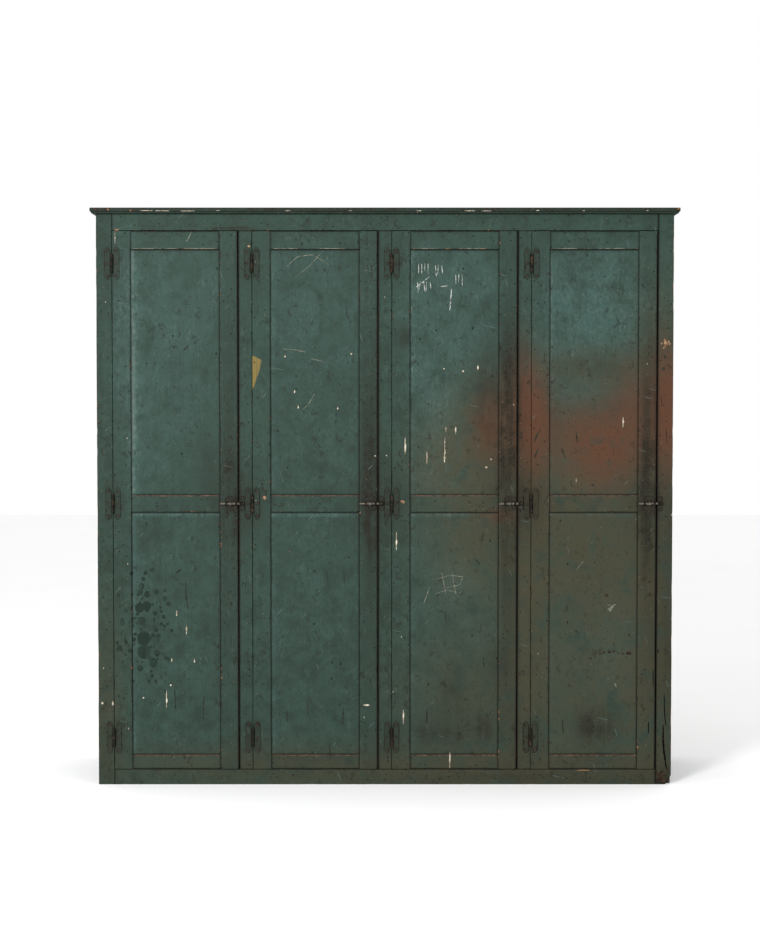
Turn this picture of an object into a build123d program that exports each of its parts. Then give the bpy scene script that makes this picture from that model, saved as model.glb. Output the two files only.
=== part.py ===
from build123d import *
import os

# Four-door locker cabinet in painted wood: tongued and grooved boards behind a face frame,
# with framed and panelled doors on surface H-hinges, each held shut by a barrel bolt.
# Millimetres, +X to the right, +Y to the back, +Z up.
# The origin is the middle of the carcass's footprint, on the floor.

# ---- carcass and face frame ----
carcass_height = 1910
carcass_depth = 500
bay_count = 4
opening_width = 422
frame_thickness = 22
frame_stile_width = 52
frame_top_rail = 54
frame_bottom_rail = 50
side_thickness = 20
partition_thickness = 18
back_thickness = 12
floor_thickness = 18
frame_tenon_length = 30
frame_tenon_thickness = 8
tenon_shoulder = 12

# ---- tongued and grooved boards ----
side_boards_across = 4
partition_boards_across = 3
floor_boards_across = 3
back_boards_across = 12
cornice_boards_across = 4
tongue_length = 7
board_joint = 0.4
tongue_clearance = 0.2
board_bevel = 2

# ---- cornice ----
cornice_thickness = 20
cornice_overhang = 18
cornice_nose = 13
cornice_step = 3
cornice_round = 7
cornice_nose_radius = 2.5

# ---- doors ----
door_thickness = 22
hinge_gap = 1.5
lock_gap = 3
door_end_gap = 2
door_stile_width = 60
door_top_rail = 60
door_lock_rail = 56
door_bottom_rail = 48
lock_rail_centre = 946
panel_thickness = 7
panel_recess = 6
panel_clearance = 0.1
groove_depth = 9
panel_room = 1
arris_chamfer = 3
door_tenon_length = 33
tenon_clearance = 0.2
tenon_end_room = 1

# ---- H-hinges ----
hinge_end_distance = 108
leaf_length = 108
leaf_width = 20
leaf_thickness = 2
leaf_point = 11
leaf_point_bulge = 1.5
leaf_offset = 5
hinge_axis_out = 5
knuckle_radius = 4.5
barrel_length = 62
middle_knuckle_length = 21
knuckle_gap = 0.3
pin_radius = 2.2
pin_clearance = 0.07
pin_dome = 1
leaf_screw_spacing = 41

# ---- barrel bolts and keepers ----
bolt_plate_width = 40
bolt_plate_height = 50
bolt_plate_thickness = 1.5
bolt_plate_corner = 14
bolt_plate_inset = 2.5
bolt_screw_across = 12
bolt_screw_up = 15
strap_width = 7
strap_thickness = 1.5
rod_radius = 4
rod_over_plate = 0.5
rod_tail = 17.5
rod_chamfer = 1
rod_in_strap = 0.1
rod_in_keeper = 0.4
rod_to_keeper = 0.5
knob_from_plate_middle = -2
knob_stem_radius = 2.5
knob_radius = 4.8
knob_over_strap = 0.4
keeper_width = 15.5
keeper_end_flat = 0.15
keeper_inset = 3.5
keeper_hump = 12
keeper_to_leaf = 0.75
keeper_screw_up = 18

# ---- wood screws ----
screw_length = 18
screw_head_radius = 3.9
screw_shank_radius = 1.9
screw_tip = 5
screw_clearance = 0.1
slot_width = 1
slot_depth = 0.7
slot_turn = 37

# ---- inside the bays ----
stop_thickness = 20
stop_lap = 12
stop_clearance = 0.5
cleat_size = 20
cleat_end_room = 10
shelf_height = 1560
shelf_thickness = 18
shelf_setback = 40
peg_rail_height = 60
peg_rail_thickness = 16
peg_rail_below_shelf = 80
pegs_per_bay = 3
peg_radius = 6
peg_flange_radius = 11
peg_flange = 3
peg_neck_radius = 5.5
peg_head_radius = 10
peg_length = 58
peg_in_rail = 12
peg_clearance = 0.1

# ---- sizes that follow ----
hinge_reach = leaf_offset + leaf_width
mullion_width = keeper_inset + keeper_width + keeper_to_leaf + hinge_reach - hinge_gap / 2
bay_pitch = opening_width + mullion_width
carcass_width = 2 * frame_stile_width + bay_count * bay_pitch - mullion_width
front_y = -carcass_depth / 2
back_y = carcass_depth / 2
frame_back_y = front_y + frame_thickness
inner_back_y = back_y - back_thickness
opening_bottom = frame_bottom_rail
opening_top = carcass_height - frame_top_rail
floor_top = opening_bottom + stop_lap
door_bottom = opening_bottom + door_end_gap
door_top = opening_top - door_end_gap
lock_rail_bottom = lock_rail_centre - door_lock_rail / 2
lock_rail_top = lock_rail_centre + door_lock_rail / 2
hinge_heights = [door_bottom + hinge_end_distance, lock_rail_centre, door_top - hinge_end_distance]
stop_y = front_y + door_thickness + stop_clearance
rod_out = bolt_plate_thickness + rod_radius + rod_over_plate
strap_bore = rod_radius + rod_in_strap
keeper_bore = rod_radius + rod_in_keeper
strap_top = rod_out + strap_bore + strap_thickness
knob_out = strap_top + knob_over_strap + knob_radius

# how far the middle of a quarter circle lies along each axis, as a share of its radius
arc_middle = 0.5**0.5

os.makedirs("parts", exist_ok=True)


def save(name, pieces):
    """Write one node; each piece in the list stays a solid of its own."""
    solids = [solid for piece in pieces for solid in piece.solids()]
    export_step(Compound(solids), "parts/" + name + ".step")


def block(x, y, z):
    """A square-cut piece of wood; each of x, y and z is a (low, high) pair."""
    size = Box(x[1] - x[0], y[1] - y[0], z[1] - z[0], align=(Align.MIN, Align.MIN, Align.MIN))
    return Pos(x[0], y[0], z[0]) * size


def grown(span, by):
    """A (low, high) pair with both ends moved outwards."""
    return (span[0] - by, span[1] + by)


# ---- where each bay, opening and door lies ----


def opening_left(bay):
    return -carcass_width / 2 + frame_stile_width + bay * bay_pitch


def opening_right(bay):
    return opening_left(bay) + opening_width


def bay_span(bay):
    """Room between the two walls of a bay: a side of the carcass, or a partition."""
    low = opening_left(bay) - (mullion_width + partition_thickness) / 2 + partition_thickness
    high = opening_right(bay) + (mullion_width - partition_thickness) / 2
    if bay == 0:
        low = -carcass_width / 2 + side_thickness
    if bay == bay_count - 1:
        high = carcass_width / 2 - side_thickness
    return (low, high)


def door_span(bay):
    return (opening_left(bay) + hinge_gap, opening_right(bay) - lock_gap)


def hinge_x(bay):
    return opening_left(bay) + hinge_gap / 2


def bolt_plate_x(bay):
    return door_span(bay)[1] - bolt_plate_inset - bolt_plate_width / 2


def keeper_x(bay):
    return opening_right(bay) + keeper_inset + keeper_width / 2


def on_front(x, z):
    """Place of a fitting on the front face: its own X to the right, Y up and Z outwards."""
    return Plane(origin=(x, front_y, z), x_dir=(1, 0, 0), z_dir=(0, -1, 0)).location


# ---- tongued and grooved boarding ----


def board_outlines(width, thickness, count):
    """Sections of the boards that fill a width: tongue on the right, groove on the left."""
    pitch = width / count
    tongue_low = thickness / 3
    tongue_high = 2 * thickness / 3
    outlines = []
    for i in range(count):
        left = i * pitch
        right = left + pitch
        if i == 0:
            outline = [(left, thickness), (left, 0)]
        else:
            groove_end = left + tongue_length
            outline = [
                (left + board_bevel, thickness),
                (left, thickness - board_bevel),
                (left, tongue_high + tongue_clearance),
                (groove_end, tongue_high + tongue_clearance),
                (groove_end, tongue_low - tongue_clearance),
                (left, tongue_low - tongue_clearance),
                (left, board_bevel),
                (left + board_bevel, 0),
            ]
        if i == count - 1:
            outline += [(right, 0), (right, thickness)]
        else:
            right -= board_joint
            outline += [
                (right - board_bevel, 0),
                (right, board_bevel),
                (right, tongue_low),
                (right + tongue_length, tongue_low),
                (right + tongue_length, tongue_high),
                (right, tongue_high),
                (right, thickness - board_bevel),
                (right - board_bevel, thickness),
            ]
        outlines.append(outline)
    return outlines


def boarding(plane, width, thickness, count, length):
    """Boards side by side along the plane's X, each running along the plane's Z."""
    return [
        extrude(plane * Polygon(*outline, align=None), amount=length)
        for outline in board_outlines(width, thickness, count)
    ]


def upright_wall(x, y, count):
    """A wall of upright boards across the depth, x and y being (low, high) pairs."""
    plane = Plane(origin=(x[1], y[0], 0), x_dir=(0, 1, 0), z_dir=(0, 0, 1))
    return boarding(plane, y[1] - y[0], x[1] - x[0], count, carcass_height)


def laid_boards(x, y, z, count):
    """A level deck of boards that run from left to right."""
    plane = Plane(origin=(x[0], y[0], z[0]), x_dir=(0, 1, 0), z_dir=(1, 0, 0))
    return boarding(plane, y[1] - y[0], z[1] - z[0], count, x[1] - x[0])


def make_carcass():
    depth = (frame_back_y, back_y)
    half = carcass_width / 2
    walls = {
        "left_side_boards": (-half, side_thickness - half),
        "right_side_boards": (half - side_thickness, half),
    }
    for name, x in walls.items():
        save(name, upright_wall(x, depth, side_boards_across))
    for bay in range(bay_count - 1):
        walls = (bay_span(bay)[1], bay_span(bay + 1)[0])
        boards = upright_wall(walls, (frame_back_y, inner_back_y), partition_boards_across)
        save("partition_" + str(bay + 1), boards)
    inner_left = side_thickness - half
    plane = Plane(origin=(inner_left, inner_back_y, 0), x_dir=(1, 0, 0), z_dir=(0, 0, 1))
    boards = boarding(plane, -2 * inner_left, back_thickness, back_boards_across, carcass_height)
    save("back_boards", boards)


def make_inside():
    """Floors and hat shelves on their cleats, door stops, and rails of turned coat pegs."""
    floors, shelves, cleats, stops, rails, pegs = [], [], [], [], [], []
    floor_z = (floor_top - floor_thickness, floor_top)
    shelf_z = (shelf_height, shelf_height + shelf_thickness)
    shelf_front = front_y + shelf_setback + frame_thickness
    peg_z = shelf_height - peg_rail_below_shelf
    for bay in range(bay_count):
        x = bay_span(bay)
        floors += laid_boards(x, (stop_y, inner_back_y), floor_z, floor_boards_across)
        shelves += laid_boards(x, (shelf_front, inner_back_y), shelf_z, floor_boards_across)
        for deck_front, deck_bottom in ((stop_y, floor_z[0]), (shelf_front, shelf_z[0])):
            depth = (deck_front + cleat_end_room, inner_back_y - cleat_end_room)
            height = (deck_bottom - cleat_size, deck_bottom)
            cleats.append(block((x[0], x[0] + cleat_size), depth, height))
            cleats.append(block((x[1] - cleat_size, x[1]), depth, height))
        stop_depth = (stop_y, stop_y + stop_thickness)
        stop_foot = opening_top - stop_lap
        stops.append(block(x, stop_depth, (stop_foot, stop_foot + stop_thickness)))
        stops.append(block((opening_right(bay) - stop_lap, x[1]), stop_depth, (floor_top, stop_foot)))
        rail_y = inner_back_y - peg_rail_thickness
        rail_z = grown((peg_z, peg_z), peg_rail_height / 2)
        rail = block(x, (rail_y, inner_back_y), rail_z)
        for i in range(pegs_per_bay):
            peg_x = x[0] + (i + 0.5) * (x[1] - x[0]) / pegs_per_bay
            place = Plane(origin=(peg_x, rail_y, peg_z), z_dir=(0, -1, 0)).location
            hole_depth = peg_in_rail + peg_clearance
            hole = Cylinder(peg_radius + peg_clearance, 2 * hole_depth)
            rail -= place * hole
            pegs.append(place * coat_peg())
        rails.append(rail)
    save("floor_boards", floors)
    save("hat_shelves", shelves)
    save("bay_cleats", cleats)
    save("door_stops", stops)
    save("peg_rails", rails)
    save("coat_pegs", pegs)


def coat_peg():
    """Turned peg along Z: a dowel below Z = 0, a flange on the rail, a waisted neck, a round head."""
    head_start = peg_length - peg_head_radius
    outline = Polyline(
        (0, head_start + peg_head_radius),
        (0, -peg_in_rail),
        (peg_radius, -peg_in_rail),
        (peg_radius, 0),
        (peg_flange_radius, 0),
        (peg_flange_radius, peg_flange),
        (peg_neck_radius, 2 * peg_flange),
        (peg_neck_radius, head_start - peg_head_radius),
        (peg_head_radius, head_start),
    )
    half_turn = peg_head_radius * arc_middle
    head = ThreePointArc(
        (peg_head_radius, head_start),
        (half_turn, head_start + half_turn),
        (0, head_start + peg_head_radius),
    )
    return revolve(Plane.XZ * make_face([*outline.edges(), head.edge()]), axis=Axis.Z)


def make_cornice():
    """Top boards whose front and ends carry one moulding: a nose, a step and a quarter round."""
    z = (carcass_height, carcass_height + cornice_thickness)
    nose_z = z[1] - cornice_nose
    small = cornice_nose_radius * (1 - arc_middle)
    waist = cornice_overhang - cornice_step
    turn = cornice_round * arc_middle

    def moulding(out):
        """Outer edge from the foot to the top; out is the distance beyond the carcass."""
        return [
            ThreePointArc(
                (waist - cornice_round, z[0]),
                (waist - cornice_round + turn, nose_z - turn),
                (waist, nose_z),
            ),
            Line((waist, nose_z), (out - cornice_nose_radius, nose_z)),
            ThreePointArc(
                (out - cornice_nose_radius, nose_z),
                (out - small, nose_z + small),
                (out, nose_z + cornice_nose_radius),
            ),
            Line((out, nose_z + cornice_nose_radius), (out, z[1] - cornice_nose_radius)),
            ThreePointArc(
                (out, z[1] - cornice_nose_radius),
                (out - small, z[1] - small),
                (out - cornice_nose_radius, z[1]),
            ),
        ]

    def section(back):
        """Moulded slab section, from its moulded edge back to a plain one at -back."""
        edges = moulding(cornice_overhang)
        rest = Polyline(
            (cornice_overhang - cornice_nose_radius, z[1]),
            (-back, z[1]),
            (-back, z[0]),
            (waist - cornice_round, z[0]),
        )
        return make_face([curve.edge() for curve in edges] + list(rest.edges()))

    half = carcass_width / 2
    reach = half + cornice_overhang
    facing_front = Plane(origin=(-reach, front_y, 0), x_dir=(0, -1, 0), z_dir=(-1, 0, 0))
    front = extrude(facing_front * section(carcass_depth), amount=-2 * reach)
    facing_right = Plane(origin=(half, -reach, 0), x_dir=(1, 0, 0), z_dir=(0, -1, 0))
    right = extrude(facing_right * section(carcass_width / 2), amount=-2 * reach)
    slab = front & (right + mirror(right, about=Plane.YZ))
    deck_front = front_y - cornice_overhang
    decks = laid_boards((-reach, reach), (deck_front, back_y), z, cornice_boards_across)
    save("cornice_boards", [slab & deck for deck in decks])


def screw(plate, turn):
    """Countersunk slotted screw along -Z, its head flush with the front of a plate this thick."""
    outline = Polygon(
        (0, plate),
        (screw_head_radius, plate),
        (screw_shank_radius, 0),
        (screw_shank_radius, plate - screw_length + screw_tip),
        (0, plate - screw_length),
        align=None,
    )
    body = revolve(Plane.XZ * outline, axis=Axis.Z)
    slot = Box(3 * screw_head_radius, slot_width, 2 * slot_depth)
    return body - Pos(0, 0, plate) * Rot(0, 0, turn) * slot


def screw_hole(plate):
    """The countersunk hole that such a screw fills, through its plate and into the wood."""
    wide = screw_head_radius + screw_clearance
    narrow = screw_shank_radius + screw_clearance
    bottom = plate - screw_length - screw_clearance
    outline = Polygon(
        (0, 2 * plate),
        (wide, 2 * plate),
        (wide, plate),
        (narrow, 0),
        (narrow, bottom),
        (0, bottom),
        align=None,
    )
    return revolve(Plane.XZ * outline, axis=Axis.Z)


def hinge_leaf(side):
    """Leaf with pointed ends, to the right (side 1, on the door) or left (side -1) of the axis."""
    near = side * leaf_offset
    far = side * hinge_reach
    middle = (near + far) / 2
    tip = leaf_length / 2
    spring = tip - leaf_point
    bulge = leaf_point_bulge * arc_middle
    edges = []
    for up in (1, -1):
        for x in (near, far):
            mid_x = (x + middle) / 2
            outwards = bulge if x > middle else -bulge
            waypoint = (mid_x + outwards, up * ((spring + tip) / 2 + bulge))
            edges.append(ThreePointArc((x, up * spring), waypoint, (middle, up * tip)).edge())
    edges.append(Line((near, -spring), (near, spring)).edge())
    edges.append(Line((far, -spring), (far, spring)).edge())
    leaf = extrude(make_face(edges), amount=leaf_thickness)
    half_middle = middle_knuckle_length / 2
    half_barrel = barrel_length / 2
    if side == 1:
        spans = [(-half_middle + knuckle_gap / 2, half_middle - knuckle_gap / 2)]
    else:
        low = half_middle + knuckle_gap / 2
        spans = [(low, half_barrel), (-half_barrel, -low)]
    along = Rot(90, 0, 0)
    for span in spans:
        centre = (span[0] + span[1]) / 2
        length = span[1] - span[0]
        place = Pos(0, centre, hinge_axis_out) * along
        leaf += block((min(0, near), max(0, near)), span, (0, leaf_thickness))
        leaf += place * Cylinder(knuckle_radius, length)
        leaf -= place * Cylinder(pin_radius + pin_clearance, length)
    for up in (-1, 0, 1):
        leaf -= Pos(middle, up * leaf_screw_spacing, 0) * screw_hole(leaf_thickness)
    return leaf


def hinge_pin():
    pin = Cylinder(pin_radius, barrel_length + 2 * pin_dome)
    pin = fillet(pin.edges().filter_by(GeomType.CIRCLE), pin_dome)
    return Pos(0, 0, hinge_axis_out) * Rot(90, 0, 0) * pin


def strap(bore, length):
    """Arched strap over the rod, its bore open below down to the plate."""
    height = rod_out - bolt_plate_thickness
    outer = bore + strap_thickness
    section = Pos(0, rod_out) * Circle(outer)
    section += Pos(0, rod_out) * Rectangle(2 * outer, height, align=(Align.CENTER, Align.MAX))
    section -= Pos(0, rod_out) * Circle(bore)
    section -= Pos(0, rod_out) * Rectangle(2 * bore, height, align=(Align.CENTER, Align.MAX))
    section &= Pos(0, bolt_plate_thickness) * Rectangle(
        4 * outer, 4 * outer, align=(Align.CENTER, Align.MIN)
    )
    return extrude(Plane.YZ * section, amount=length / 2, both=True)


def bolt_plate():
    plate = RectangleRounded(bolt_plate_width, bolt_plate_height, bolt_plate_corner)
    plate = extrude(plate, amount=bolt_plate_thickness)
    strap_x = (bolt_plate_width - strap_width) / 2
    for x in (-strap_x, strap_x):
        plate += Pos(x, 0, 0) * strap(strap_bore, strap_width)
    for x, z in bolt_screw_places():
        plate -= Pos(x, z, 0) * screw_hole(bolt_plate_thickness)
    return plate


def bolt_screw_places():
    return [
        (across, up)
        for across in (-bolt_screw_across, bolt_screw_across)
        for up in (-bolt_screw_up, bolt_screw_up)
    ]


def bolt_rod():
    """Round rod with a ball knob, its tip standing just clear of the keeper's hump."""
    plate_to_opening = bolt_plate_width / 2 + bolt_plate_inset + lock_gap
    tip = plate_to_opening + keeper_inset - rod_to_keeper
    tail = -bolt_plate_width / 2 - rod_tail
    rod = Cylinder(rod_radius, tip - tail)
    rod = chamfer(rod.edges().filter_by(GeomType.CIRCLE), rod_chamfer)
    rod = Pos((tip + tail) / 2, 0, rod_out) * Rot(0, 90, 0) * rod
    stem_height = knob_out - rod_out
    stem = Cylinder(knob_stem_radius, stem_height, align=(Align.CENTER, Align.CENTER, Align.MIN))
    rod += Pos(knob_from_plate_middle, 0, rod_out) * stem
    return rod + Pos(knob_from_plate_middle, 0, knob_out) * Sphere(knob_radius)


def keeper():
    plate = RectangleRounded(keeper_width, bolt_plate_height, keeper_width / 2 - keeper_end_flat)
    plate = extrude(plate, amount=bolt_plate_thickness)
    plate += strap(keeper_bore, keeper_hump)
    for up in (-keeper_screw_up, keeper_screw_up):
        plate -= Pos(0, up, 0) * screw_hole(bolt_plate_thickness)
    return plate


def leaf_screw_places(bay, side):
    """Where the screws of one opening's door leaves (side 1) or frame leaves (side -1) stand."""
    x = hinge_x(bay) + side * (leaf_offset + hinge_reach) / 2
    return [(x, z + up * leaf_screw_spacing) for z in hinge_heights for up in (-1, 0, 1)]


def keeper_screw_places(bay):
    return [(keeper_x(bay), lock_rail_centre + up) for up in (-keeper_screw_up, keeper_screw_up)]


def drilled(wood, places, plate):
    """The wood with a pilot hole for each screw."""
    for x, z in places:
        wood -= on_front(x, z) * screw_hole(plate)
    return wood


def driven(places, plate):
    """A screw in each place, its slot left at a different angle each time."""
    return [on_front(x, z) * screw(plate, slot_turn * i) for i, (x, z) in enumerate(places)]


def tenon(x, z, thickness, y):
    return block(x, grown((y, y), thickness / 2), z)


def make_face_frame():
    """Two full-height stiles, two rails tenoned between them, and mullions between the rails."""
    y = (front_y, frame_back_y)
    middle_y = (front_y + frame_back_y) / 2
    half = carcass_width / 2
    inner = half - frame_stile_width
    thickness = frame_tenon_thickness
    loose = thickness + 2 * tenon_clearance
    reach = frame_tenon_length
    mortise = reach + tenon_end_room
    height = (0, carcass_height)
    stiles = [block((-half, -inner), y, height), block((inner, half), y, height)]
    rail_spans = [(0, frame_bottom_rail), (opening_top, carcass_height)]
    rails = []
    for z in rail_spans:
        tenon_z = grown(z, -tenon_shoulder)
        rail = block((-inner, inner), y, z)
        rail += tenon(grown((-inner, inner), reach), tenon_z, thickness, middle_y)
        rails.append(rail)
        cut_z = grown(tenon_z, tenon_clearance)
        cut = tenon(grown((-inner, inner), mortise), cut_z, loose, middle_y)
        stiles = [stile - cut for stile in stiles]
    mullions = []
    for bay in range(bay_count - 1):
        x = (opening_right(bay), opening_left(bay + 1))
        tenon_x = grown(x, -tenon_shoulder)
        upright = block(x, y, (opening_bottom, opening_top))
        upright += tenon(tenon_x, grown((opening_bottom, opening_top), reach), thickness, middle_y)
        cut_z = grown((opening_bottom, opening_top), mortise)
        cut = tenon(grown(tenon_x, tenon_clearance), cut_z, loose, middle_y)
        rails = [rail - cut for rail in rails]
        mullions.append(upright)
    uprights = [stiles[0], *mullions, stiles[1]]
    for bay in range(bay_count):
        leaf_places = leaf_screw_places(bay, -1)
        uprights[bay] = drilled(uprights[bay], leaf_places, leaf_thickness)
        keeper_places = keeper_screw_places(bay)
        uprights[bay + 1] = drilled(uprights[bay + 1], keeper_places, bolt_plate_thickness)
    save("frame_bottom_rail", [rails[0]])
    save("frame_top_rail", [rails[1]])
    save("frame_left_stile", [uprights[0]])
    save("frame_right_stile", [uprights[-1]])
    for i, mullion in enumerate(uprights[1:-1]):
        save("mullion_" + str(i + 1), [mullion])


def make_frame_fittings():
    """What the cabinet carries of each hinge and bolt: frame leaves, pins, keepers, screws."""
    leaf = hinge_leaf(-1)
    pin = hinge_pin()
    leaves, pins, keepers, screws = [], [], [], []
    for bay in range(bay_count):
        leaves += [on_front(hinge_x(bay), z) * leaf for z in hinge_heights]
        pins += [on_front(hinge_x(bay), z) * pin for z in hinge_heights]
        keepers.append(on_front(keeper_x(bay), lock_rail_centre) * keeper())
        screws += driven(leaf_screw_places(bay, -1), leaf_thickness)
        screws += driven(keeper_screw_places(bay), bolt_plate_thickness)
    save("hinge_frame_leaves", leaves)
    save("hinge_pins", pins)
    save("bolt_keepers", keepers)
    save("frame_screws", screws)


def make_door(bay):
    """Stiles and rails ploughed for two flat panels, chamfered round them, with hinges and bolt."""
    name = "door_" + str(bay + 1) + "_"
    x = door_span(bay)
    y = (front_y, front_y + door_thickness)
    inner = grown(x, -door_stile_width)
    panel_y = (front_y + panel_recess, front_y + panel_recess + panel_thickness)
    groove_y = grown(panel_y, panel_clearance)
    middle_y = (panel_y[0] + panel_y[1]) / 2
    fields = [
        (door_bottom + door_bottom_rail, lock_rail_bottom),
        (lock_rail_top, door_top - door_top_rail),
    ]
    rail_spans = [
        (door_bottom, fields[0][0]),
        (fields[0][1], fields[1][0]),
        (fields[1][1], door_top),
    ]
    # each tenon clears the panel grooves above and below it and keeps a shoulder at a door end
    tenon_spans = [
        (rail_spans[0][0] + tenon_shoulder, rail_spans[0][1] - groove_depth),
        grown(rail_spans[1], -groove_depth),
        (rail_spans[2][0] + groove_depth, rail_spans[2][1] - tenon_shoulder),
    ]
    stiles = [
        block((x[0], inner[0]), y, (door_bottom, door_top)),
        block((inner[1], x[1]), y, (door_bottom, door_top)),
    ]
    rails = []
    for rail_z, tenon_z in zip(rail_spans, tenon_spans):
        rail = block(inner, y, rail_z)
        rail += tenon(grown(inner, door_tenon_length), tenon_z, panel_thickness, middle_y)
        rails.append(rail)
        mortise_x = grown(inner, door_tenon_length + tenon_end_room)
        mortise_z = grown(tenon_z, tenon_clearance)
        cut = tenon(mortise_x, mortise_z, panel_thickness + 2 * panel_clearance, middle_y)
        stiles = [stile - cut for stile in stiles]
    panels = []
    for field in fields:
        groove = block(grown(inner, groove_depth), groove_y, grown(field, groove_depth))
        splay = chamfer_tool(inner, field)
        stiles = [stile - groove - splay for stile in stiles]
        rails = [rail - groove_in_rail(inner, groove_y, field) - splay for rail in rails]
        fill = groove_depth - panel_room
        panels.append(block(grown(inner, fill), panel_y, grown(field, fill)))
    plate_at = (bolt_plate_x(bay), lock_rail_centre)
    bolt_places = [(plate_at[0] + across, plate_at[1] + up) for across, up in bolt_screw_places()]
    leaf_places = leaf_screw_places(bay, 1)
    hinge_stile = drilled(stiles[0], leaf_places, leaf_thickness)
    lock_stile = drilled(stiles[1], bolt_places, bolt_plate_thickness)
    rails[1] = drilled(rails[1], bolt_places, bolt_plate_thickness)
    leaf = hinge_leaf(1)
    leaves = [on_front(hinge_x(bay), z) * leaf for z in hinge_heights]
    screws = driven(leaf_places, leaf_thickness) + driven(bolt_places, bolt_plate_thickness)
    save(name + "hinge_stile", [hinge_stile])
    save(name + "lock_stile", [lock_stile])
    save(name + "rails", rails)
    save(name + "lower_panel", [panels[0]])
    save(name + "upper_panel", [panels[1]])
    save(name + "hinge_leaves", leaves)
    save(name + "screws", screws)
    save(name + "bolt_plate", [on_front(*plate_at) * bolt_plate()])
    save(name + "bolt_rod", [on_front(*plate_at) * bolt_rod()])


def chamfer_tool(x, z):
    """Cuts the front arris all round a panel field: a frame-shaped splay that opens to the front."""
    size_x = x[1] - x[0]
    size_z = z[1] - z[0]
    wide = Rectangle(size_x + 2 * arris_chamfer, size_z + 2 * arris_chamfer)
    narrow = Pos(0, 0, -arris_chamfer) * Rectangle(size_x, size_z)
    place = on_front((x[0] + x[1]) / 2, (z[0] + z[1]) / 2)
    return place * loft([wide, narrow])


def groove_in_rail(x, y, z):
    """The plough along a rail's edge, as long as the rail between the stiles."""
    return block(x, y, grown(z, groove_depth))


make_carcass()
make_cornice()
make_inside()
make_face_frame()
make_frame_fittings()
for door_bay in range(bay_count):
    make_door(door_bay)
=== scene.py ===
import math
import zlib

import bpy
import numpy as np
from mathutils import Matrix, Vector


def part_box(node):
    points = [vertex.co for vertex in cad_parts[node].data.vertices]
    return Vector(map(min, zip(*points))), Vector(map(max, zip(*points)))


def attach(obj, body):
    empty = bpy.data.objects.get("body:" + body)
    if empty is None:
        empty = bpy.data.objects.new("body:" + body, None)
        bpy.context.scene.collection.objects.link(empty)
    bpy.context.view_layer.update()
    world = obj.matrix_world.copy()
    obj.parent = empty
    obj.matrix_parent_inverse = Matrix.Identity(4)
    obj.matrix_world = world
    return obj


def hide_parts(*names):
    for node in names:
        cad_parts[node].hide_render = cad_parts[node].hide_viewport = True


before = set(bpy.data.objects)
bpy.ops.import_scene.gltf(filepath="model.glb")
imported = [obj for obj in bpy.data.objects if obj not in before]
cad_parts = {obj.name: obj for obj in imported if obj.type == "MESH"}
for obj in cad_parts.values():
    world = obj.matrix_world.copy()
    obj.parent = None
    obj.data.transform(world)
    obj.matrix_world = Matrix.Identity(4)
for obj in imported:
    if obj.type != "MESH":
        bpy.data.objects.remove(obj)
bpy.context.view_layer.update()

# ---------------------------------------------------------------------------------------------
# Face frame. Two full-height stiles with a top and a bottom rail tenoned between them, and
# three mullions between the rails, all of 22 mm softwood. Brush-painted many times in
# blue-green oil paint, and worn, stained and knocked by decades of use in a workshop.
# ---------------------------------------------------------------------------------------------

X, Y, Z = 0, 1, 2
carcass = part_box("frame_left_stile")[0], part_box("frame_right_stile")[1]
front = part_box("frame_left_stile")[0].y
frame_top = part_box("frame_left_stile")[1].z
mullions = [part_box("mullion_" + str(i)) for i in (1, 2, 3)]
lock_edges = [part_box("door_" + str(i) + "_lock_stile")[1].x for i in (1, 2, 3, 4)]
bolt_height = sum(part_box("door_1_bolt_plate")[k].z for k in (0, 1)) / 2

PAINT = (0.0225, 0.0435, 0.0335)
PAINT_DARK = (0.0150, 0.0265, 0.0195)
PAINT_PALE = (0.0330, 0.0665, 0.0575)
CHALKY = (0.070, 0.102, 0.090)
SOOT = (0.0110, 0.0097, 0.0058)
RED_STAIN = (0.0740, 0.0262, 0.0122)
MUD = (0.0395, 0.0335, 0.0172)
OIL = (0.0055, 0.0130, 0.0090)
OCHRE = (0.150, 0.108, 0.032)
CHIP_RIM = (0.0110, 0.0072, 0.0042)
CREVICE = (0.0035, 0.0024, 0.0016)
BARE_WOOD = (0.215, 0.130, 0.068)
ORANGE_WOOD = (0.078, 0.030, 0.012)
CREAM = (0.400, 0.350, 0.270)

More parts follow.
